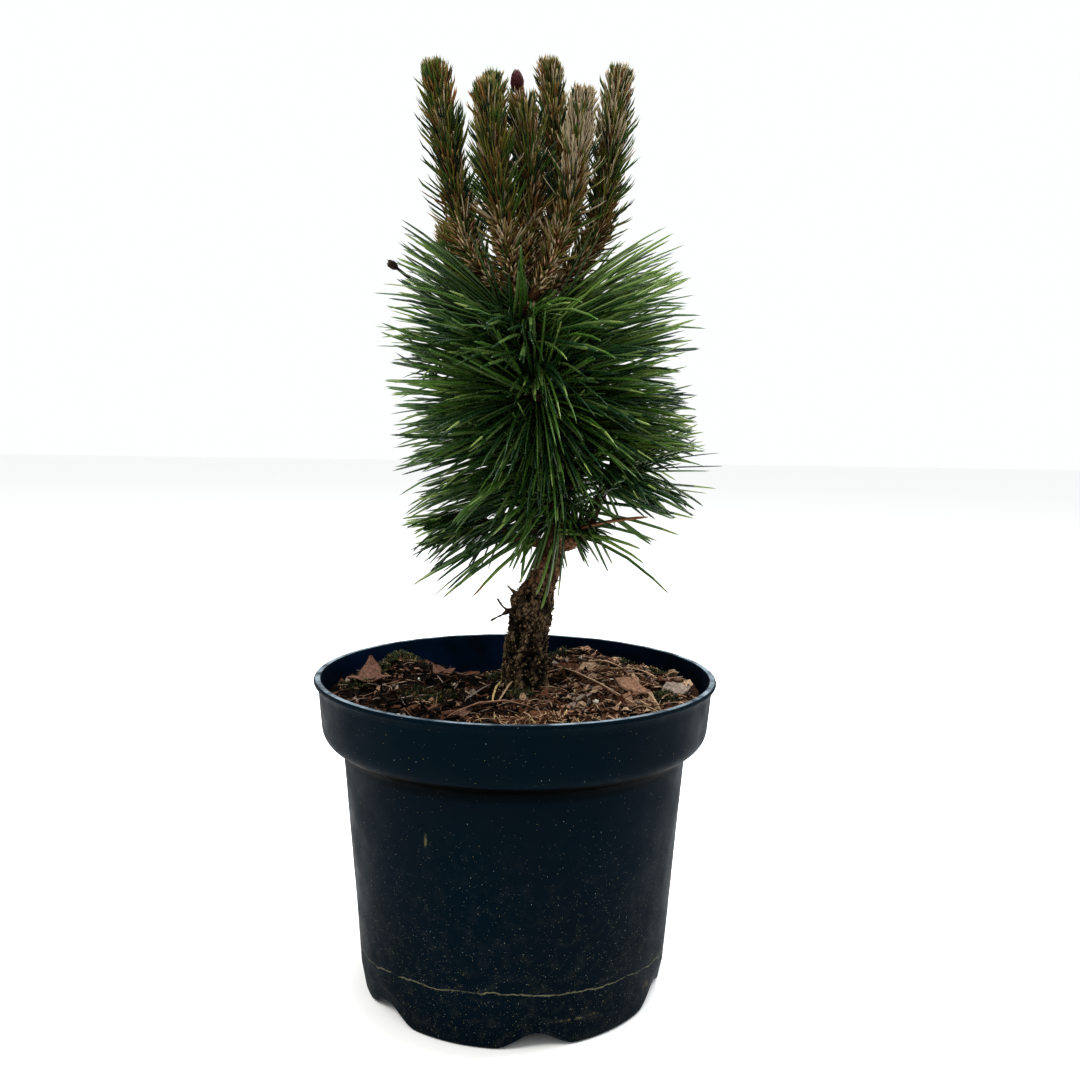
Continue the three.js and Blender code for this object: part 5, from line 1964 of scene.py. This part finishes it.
for k in range(len(SHOOTS)):
    put(f"new_shoot_{k + 1}", make_shoot(k), "shoots", f"shoot_{k + 1}")
put("side_shoots", side_wood.mesh("side_shoots", shoot_materials), "shoots")


# The stage: a pale floor, even light from all round and soft lamps
FLOOR_REACH = 9000
FLOOR_COLOUR = (0.94, 0.94, 0.93)
SKY_COLOUR = (0.96, 0.975, 0.985)
SKY_STRENGTH = 0.86
LAMPS_AIM = np.array([0, 0, 280.0])

# Lamps: place, diameter, power and colour
LAMPS = {
    "key": ((-800, -800, 1500), 600, 16, (1.0, 0.98, 0.95)),
    "overhead": ((150, 150, 1900), 1100, 44, (1.0, 1.0, 1.0)),
    "side": ((1000, 300, 1100), 600, 9, (0.95, 0.97, 1.0)),
}


def make_floor():
    parts = Parts()
    corners = [(-1, -1, 0), (1, -1, 0), (1, 1, 0), (-1, 1, 0)]
    parts.add(np.array(corners) * FLOOR_REACH, [[(0, 1, 2, 3)]], [0])
    paint = plain("floor_paint", FLOOR_COLOUR, 0.8, 0.05, 0.2).material
    floor = linked("floor", parts.mesh("floor", [paint]))


def make_world():
    world = bpy.data.worlds.new("studio")
    world.use_nodes = True
    background = world.node_tree.nodes["Background"]
    background.inputs["Color"].default_value = (*SKY_COLOUR, 1)
    background.inputs["Strength"].default_value = SKY_STRENGTH
    bpy.context.scene.world = world


def make_lamp(name, place, size, power, colour):
    data = bpy.data.lights.new(name, "AREA")
    data.shape = "DISK"
    data.size = size * MM
    data.energy = power
    data.color = colour
    way = normalised(LAMPS_AIM - place)
    right = normalised(np.cross(way, UP))
    turn_to(linked(name, data), place, right, np.cross(right, way), way)


def turn_to(thing, place, right, top, forward):
    """Puts a lamp or a camera at a place, looking forward."""
    thing.matrix_world = Matrix(np.stack([right, top, -forward], 1).tolist()).to_4x4()
    thing.location = [c * MM for c in place]


def make_camera():
    pitch, roll = math.radians(CAMERA_PITCH), math.radians(CAMERA_ROLL)
    level, up = np.array([1.0, 0, 0]), np.array([0, math.sin(pitch), math.cos(pitch)])
    forward = np.array([0, math.cos(pitch), -math.sin(pitch)])
    right = math.cos(roll) * level - math.sin(roll) * up
    top = math.sin(roll) * level + math.cos(roll) * up
    data = bpy.data.cameras.new("camera")
    data.lens = CAMERA_LENS
    data.sensor_width = 36
    data.clip_start = 0.01
    data.clip_end = 50
    camera = linked("camera", data)
    turn_to(camera, CAMERA_PLACE, right, top, forward)
    bpy.context.scene.camera = camera


make_floor()
make_world()
for name, lamp in LAMPS.items():
    make_lamp(name, *lamp)
make_camera()
bpy.context.scene.view_settings.view_transform = "Standard"
bpy.context.scene.view_settings.look = "Medium High Contrast"
